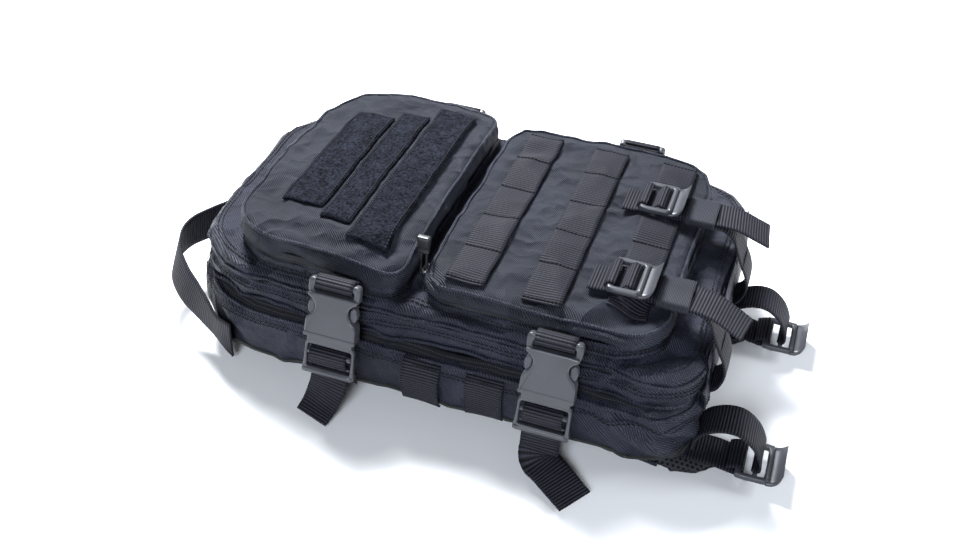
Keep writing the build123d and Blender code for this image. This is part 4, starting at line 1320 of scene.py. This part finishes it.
def zip_run(name, plan, end, out, height, cloth, body, node, rise):
    shares = zip_shares(plan, end)
    middle = ring_line(plan, out, height, cloth, 0.0, shares, 90)
    up = Vector((0, 0, 1))
    rows = []
    for width, lift, bow in ((9 * MM, 0, 0), (3.4 * MM, 0.5 * MM, 0.9 * MM)):
        ways, points = [], []
        for number, p in enumerate(middle):
            normal = plan.at(shares[0] + (shares[1] - shares[0]) * number / 90)[1]
            across = (up * rise - normal * (1 - rise)).normalized()
            outward = (normal * rise + up * (1 - rise)).normalized()
            points.append(p + outward * lift)
            ways.append(across)
        rows.append(strip(points, width, ways, columns=6, pitch=2.4 * MM, bow=bow))
    hand_over(rows[0], name + "_tape", [ZIP_TAPE], body, [node], laid=True, thick=0.6 * MM)
    hand_over(rows[1], name + "_coil", [ZIP_TEETH], body, laid=True, thick=0.5 * MM)


zip_run("main_zip", MAIN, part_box("main_zip_track")[1].x, -6.6, Z_MAIN_ZIP + 1.4, MAIN_CLOTH, "main_section",
        "main_zip_track", 0.35)
zip_run("middle_zip", MIDDLE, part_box("middle_zip_track")[1].x, -1.2, Z_MID_ZIP + 1.3, MIDDLE_CLOTH,
        "middle_section", "middle_zip_track", 0.8)
zip_run("upper_zip", UPPER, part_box("upper_pocket_zip_track")[1].x, -0.8, Z_UPPER_LIP - 1.9, FLAT,
        "front_section", "upper_pocket_zip_track", 1.0)
zip_run("lower_zip", LOWER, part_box("lower_pocket_zip_track")[1].x, -0.8, Z_LOWER_LIP - 1.9, FLAT,
        "front_section", "lower_pocket_zip_track", 1.0)

# %% [markdown]
# Each slider has a loop of cord with a rubber grip moulded on its end. The cord is a U of two close
# strands, and the grip tapers and has pressed ribs.

# %% Zip pulls
def pull_pieces(name, root, way, flat, length):
    """A pull from root along way, with its grip flat to a direction."""
    root, way, flat = Vector(root) * MM, Vector(way), Vector(flat)
    side = way.cross(flat).normalized()
    grip_start = root + way * (length - 13) * MM
    strands = [grip_start + side * 1.7 * MM + way * 2 * MM, root + side * 2.0 * MM + way * 4 * MM,
               root + side * 1.3 * MM + way * 0.6 * MM,
               root - side * 1.3 * MM + way * 0.6 * MM, root - side * 2.0 * MM + way * 4 * MM,
               grip_start - side * 1.7 * MM + way * 2 * MM]
    hand_over(tube(strands, 0.8 * MM, sides=8, pitch=1 * MM), name + "_cord", [CORD], name, [])
    shape = Outline([(3.8, 0), (3.6, 1.7), (-3.6, 1.7), (-3.8, 0), (-3.6, -1.7), (3.6, -1.7)], 1, 48)
    keys = [(-1.4, 0, -1), (-0.3, 0.4, 0), (0, 1.6, 0), (-0.5, 2.2, 0), (-0.1, 2.8, 0), (-0.5, 3.5, 0),
            (-0.1, 4.2, 0), (0.4, 8, 0), (0.8, 11.6, 0), (0.3, 12.9, 0.4), (-1.2, 13.2, 1)]
    grip = drum(shape, keys, FLAT, 0.5 * MM, 0.5 * MM, shut=(True, True))
    basis = Matrix((side, flat, way)).transposed().to_4x4()
    if basis.determinant() < 0:
        basis = Matrix((-side, flat, way)).transposed().to_4x4()
    turned(grip, Matrix.Translation(grip_start) @ basis)
    hand_over(grip, name + "_grip", [GRIP], name, [name])


pull_pieces("main_near_pull", (-192.6, 4.4, 55.4), (0, -1, 0), (-1, 0, 0), 28)
pull_pieces("main_far_pull", (-192.6, 16.6, 55.4), (0, 1, 0), (-1, 0, 0), 28)
pull_pieces("middle_pull", (2.4, 112.0, 72.5), (-1, 0, 0), (0, 1, 0), 28)
pull_pieces("upper_pull", (-162.6, 20.4, 89.8), (0, -1, 0), (-1, 0, 0), 28)
pull_pieces("lower_pull", (-26.7, -74, 85.2), (0, 0, 1), (0, -1, 0), 28)
print("trims done")


# %% [markdown]
# Pads are foam under air mesh. Each starts as a flat drum a little thin, is remeshed, and is blown
# up as cloth for a few steps with its movement capped, so its edge pulls in and its face crowns.

# %% Padding by simulation
def swollen(bm, name, cap, pressure=4.0, voxel=5 * MM, flat_below=None):
    """The mesh as cloth under pressure. Returns a bmesh of the swollen shape."""
    mesh = bpy.data.meshes.new(name)
    bm.to_mesh(mesh)
    bm.free()
    piece = bpy.data.objects.new(name, mesh)
    bpy.context.collection.objects.link(piece)
    remesh = piece.modifiers.new("remesh", "REMESH")
    remesh.mode, remesh.voxel_size = "VOXEL", voxel
    dg = bpy.context.evaluated_depsgraph_get()
    piece.data = bpy.data.meshes.new_from_object(piece.evaluated_get(dg))
    piece.modifiers.clear()
    rest = [v.co.copy() for v in piece.data.vertices]
    cloth = piece.modifiers.new("cloth", "CLOTH")
    cloth.settings.use_pressure = True
    cloth.settings.uniform_pressure_force = pressure
    cloth.settings.effector_weights.gravity = 0
    cloth.settings.quality = 4
    scene = bpy.context.scene
    for step in range(1, 15):
        scene.frame_set(step)
    dg = bpy.context.evaluated_depsgraph_get()
    piece.data = bpy.data.meshes.new_from_object(piece.evaluated_get(dg))
    piece.modifiers.clear()
    scene.frame_set(1)
    for vert, start in zip(piece.data.vertices, rest):
        move = vert.co - start
        if move.length > cap:
            vert.co = start + move * (cap / move.length)
        if flat_below is not None and vert.co.z < flat_below:
            vert.co.z = flat_below
    made = bmesh.new()
    made.from_mesh(piece.data)
    bpy.data.objects.remove(piece)
    return made


pad_low, pad_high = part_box("back_pads")
for where, side in (("near", -1), ("far", 1)):
    middle = Plan(pad_low.x + 2 * MM, pad_high.x - 2 * MM, 35 * MM, 14 * MM, 14 * MM)
    bm = drum(middle, [(-30, 7.8, -1), (-5, 7.9, -1), (-0.6, 8.8, -0.4), (0, 10, 0), (-0.6, 11.2, 0.4),
                       (-5, 11.6, 1), (-30, 11.6, 1)], FLAT, 4 * MM, 5 * MM, shut=(True, True))
    turned(bm, Matrix.Translation((0, side * 58 * MM, 0)))
    bm = swollen(bm, "pad", 3 * MM, flat_below=6.6 * MM)
    pad = hand_over(bm, where + "_back_pad", [MESH], "main_section",
                    ["back_pads"] if where == "near" else [])

# %% [markdown]
# The shoulder straps lie under the pack and show past its base. Their pads follow a curve, so each
# is a wide strip given depth, then swollen in the same way, with webbing sewn down its middle to
# the ladder-lock.

# %% Shoulder straps
PADS = {"near": (-38, -60, -86), "far": (38, 56, 43)}
for where, ys in PADS.items():
    low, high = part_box(where + "_strap_pad")
    side = -1 if where == "near" else 1
    points = [Vector((low.x + 5 * MM, ys[0] * MM, 3.2 * MM)),
              Vector((-0.120, (ys[0] * 0.6 + ys[1] * 0.4) * MM, 3.2 * MM)),
              Vector((-0.078, ys[1] * MM, 3.2 * MM)),
              Vector((0.0, (ys[1] * 0.67 + ys[2] * 0.33) * MM, 3.2 * MM)),
              Vector((0.08, (ys[1] * 0.33 + ys[2] * 0.67) * MM, 3.2 * MM)),
              Vector((0.145, ys[2] * MM, 3.2 * MM)), Vector((high.x - 1.5 * MM, ys[2] * MM, 3.2 * MM))]
    bm = strip(points, 47 * MM, (0, 1, 0), columns=10, pitch=5 * MM,
               taper=lambda s: min(1.0, (max(0.0, 1 - s) * 15 + 0.12) ** 0.5))
    bmesh.ops.solidify(bm, geom=bm.faces[:], thickness=5.2 * MM)
    bmesh.ops.recalc_face_normals(bm, faces=bm.faces)
    lows = min(v.co.z for v in bm.verts)
    turned(bm, Matrix.Translation((0, 0, 0.7 * MM - lows)))
    bm = swollen(bm, "pad", 1.6 * MM, flat_below=0.2 * MM)
    for vert in bm.verts:
        vert.co.z = min(vert.co.z, 7.4 * MM)
    cloth_map = bm.loops.layers.uv.verify()
    pad = hand_over(bm, where + "_shoulder_pad", [MESH], where + "_shoulder_strap",
                    [where + "_strap_pad"])
    binding = [[p + Vector((0, s * 23 * MM, 3.6 * MM)) for p in points[:-1]] for s in (-1, 1)]
    edges = [tube([p.copy() for p in line], 1.5 * MM, sides=8, pitch=5 * MM) for line in binding]
    hand_over(joined(edges), where + "_pad_binding", [NYLON], where + "_shoulder_strap", [])
    y = ys[2]
    link = [Vector((0.120, y * MM, 8.0 * MM)), Vector((0.150, y * MM, 8.4 * MM)),
            Vector((0.176, y * MM, 8.2 * MM)), Vector((0.184, y * MM, 7.2 * MM)),
            Vector((0.1905, y * MM, 6.2 * MM)), Vector((0.1950, y * MM, 6.6 * MM)),
            Vector((0.1968, y * MM, 9.2 * MM)), Vector((0.1945, y * MM, 12.2 * MM)),
            Vector((0.1905, y * MM, 11.6 * MM)), Vector((0.186, y * MM, 9.6 * MM))]
    hand_over(strip(link, WEB, (0, 1, 0), columns=8, pitch=1.8 * MM), where + "_link_webbing", [WEBBING],
              where + "_shoulder_strap",
              [where + "_strap_link"], laid=True, thick=WEB_THICK)
    arch = [hp(163.4, y, 17), hp(164.2, y, 25), hp(169.5, y, 33), hp(180, y, 38.4), hp(190.5, y, 38.0),
            hp(200, y, 30.5), hp(205.6, y, 20), hp(206.6, y, 13.6),
            hp(204.6, y, 11.4), hp(201.8, y, 13.2)]
    run = hand_over(strip(arch, WEB, (0, 1, 0), columns=8, pitch=1.8 * MM, bow=0.4 * MM),
                    where + "_arch_webbing", [WEBBING], None,
                    ["lower_webbing"] if where == "near" else [], laid=True, thick=WEB_THICK)
    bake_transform(run)

# %% [markdown]
# What shows when the bag is open: a sleeve for a water bladder, a stiff sheet against the back, and
# an organiser panel with elastic loops for instruments. Wedges and a yoke of webbing hold the
# harness on below.

# %% Inside the bag and below it
low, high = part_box("hydration_sleeve")
sleeve = Plan(low.x, high.x, high.y, 10 * MM, 10 * MM)
bm = drum(sleeve, [(-82, 17, -1), (-4, 17, -1), (0, 19, 0), (-1, 22.4, 0.3), (-6, 23.8, 1), (-82, 24, 1)],
          Cloth(31, 1.0, 0.8), 5 * MM, 5 * MM, shut=(True, True))
hand_over(bm, "bladder_sleeve", [LINING], "main_section", ["hydration_sleeve"])

low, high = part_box("organiser_panel")
panel = Plan(low.x, high.x, high.y, 20 * MM, 20 * MM)
bm = drum(panel, [(-80, 57.4, -1), (-2, 57.4, -1), (0, 58.2, 0), (-2, 59.2, 1), (-80, 59.4, 1)],
          Cloth(37, 0.5), 5 * MM, 5 * MM, shut=(True, True))
hand_over(bm, "organiser_cloth", [LINING], "middle_section", ["organiser_panel"])

low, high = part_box("elastic_loops")
bands = []
for number in range(4):
    x = low.x + 10 * MM + number * 48 * MM
    points = [Vector((x, (n - 10) * 7 * MM,
                      (60.6 + 2.8 * abs(math.sin(math.pi * n / 4))) * MM)) for n in range(21)]
    bands.append(strip(points, 20 * MM, (1, 0, 0), columns=6, pitch=2 * MM))
hand_over(joined(bands), "instrument_loops", [ELASTIC], "middle_section", ["elastic_loops"],
          laid=True, thick=1.0 * MM)

low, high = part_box("sewn_anchors")
wedges = []
for side in (-1, 1):
    shape = Outline([(160, side * 88 - 10), (160, side * 88 + 12), (146, side * 88 + 14),
                     (132, side * 88 + 6), (132, side * 88 - 6), (148, side * 88 - 12)], 2, 60)
    wedges.append(block_of(shape, 7.6, 11.8, 1.0, 60))
yoke = Plan(-190 * MM, -162 * MM, 64 * MM, 8 * MM, 8 * MM)
wedges.append(drum(yoke, [(-12, 7.2, -1), (-1, 7.2, -1), (0, 8.4, 0), (0, 10.6, 0), (-1, 11.8, 1),
                          (-12, 11.9, 1)], FLAT, 2 * MM, 4 * MM, shut=(True, True)))
hand_over(joined(wedges), "harness_yoke", [NYLON], "main_section", ["sewn_anchors"])
print("harness done")
# %% [markdown]
# Along the base the layers are not zipped but sewn to one strip of cloth each, which is the hinge
# when the bag opens. Its two edges lie just outside the walls, and it rides on neither layer.

# %% Cloth hinges
def base_edge(piece, height):
    """How far out the wall at the base stands at one height, in metres."""
    return max(v.co.x for v in piece.data.vertices
               if abs(v.co.y) < 70 * MM and abs(v.co.z - height * MM) < 4 * MM)


for name, below, above, middle, half, bodies in (
        ("main_hinge_cloth", "main_bag", "middle_bag", 53.5, 90, ("main_section", "middle_section")),
        ("middle_hinge_cloth", "middle_bag", "front_board", 72.5, 84, ("middle_section", "front_section"))):
    lower_wall, upper_wall = bpy.data.objects[below], bpy.data.objects[above]
    points = [Vector((base_edge(lower_wall, middle + h) + 0.7 * MM, 0, (middle + h) * MM)) for h in (-8.5,
                                                                                                     -5)]
    points += [Vector((base_edge(upper_wall, middle + h) + 0.7 * MM, 0, (middle + h) * MM)) for h in (5, 8.5)]
    points.insert(2, (points[1] + points[2]) / 2 + Vector((0.8 * MM, 0, 0)))
    bm = strip(points, 2 * half * MM, (0, 1, 0), columns=60, pitch=1.6 * MM)
    hinge = hand_over(bm, name, [NYLON], None, [], laid=True, thick=0.8 * MM)
    (middle - 3.5) * MM
    (middle + 3.5) * MM
    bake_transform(hinge)
    print(name, [round(p.x * 1000, 1) for p in points])


# %% [markdown]
# Last, the pocket faces have their placement baked in, and what is left of the CAD parts gets its finish.
# The looks may stand only a little proud of the model.

# %% Baked pocket faces and finishes
crosses_fold(upper_face)
crosses_fold(lower_face)

KEPT = {"frame_sheet": SHEET, "main_near_slider": SLIDER, "main_far_slider": SLIDER, "middle_slider": SLIDER,
        "upper_slider": SLIDER, "lower_slider": SLIDER}
for node, finish in KEPT.items():
    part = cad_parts[node]
    part.data.materials.clear()
    part.data.materials.append(finish)
print("finished", len(KEPT), "kept parts")
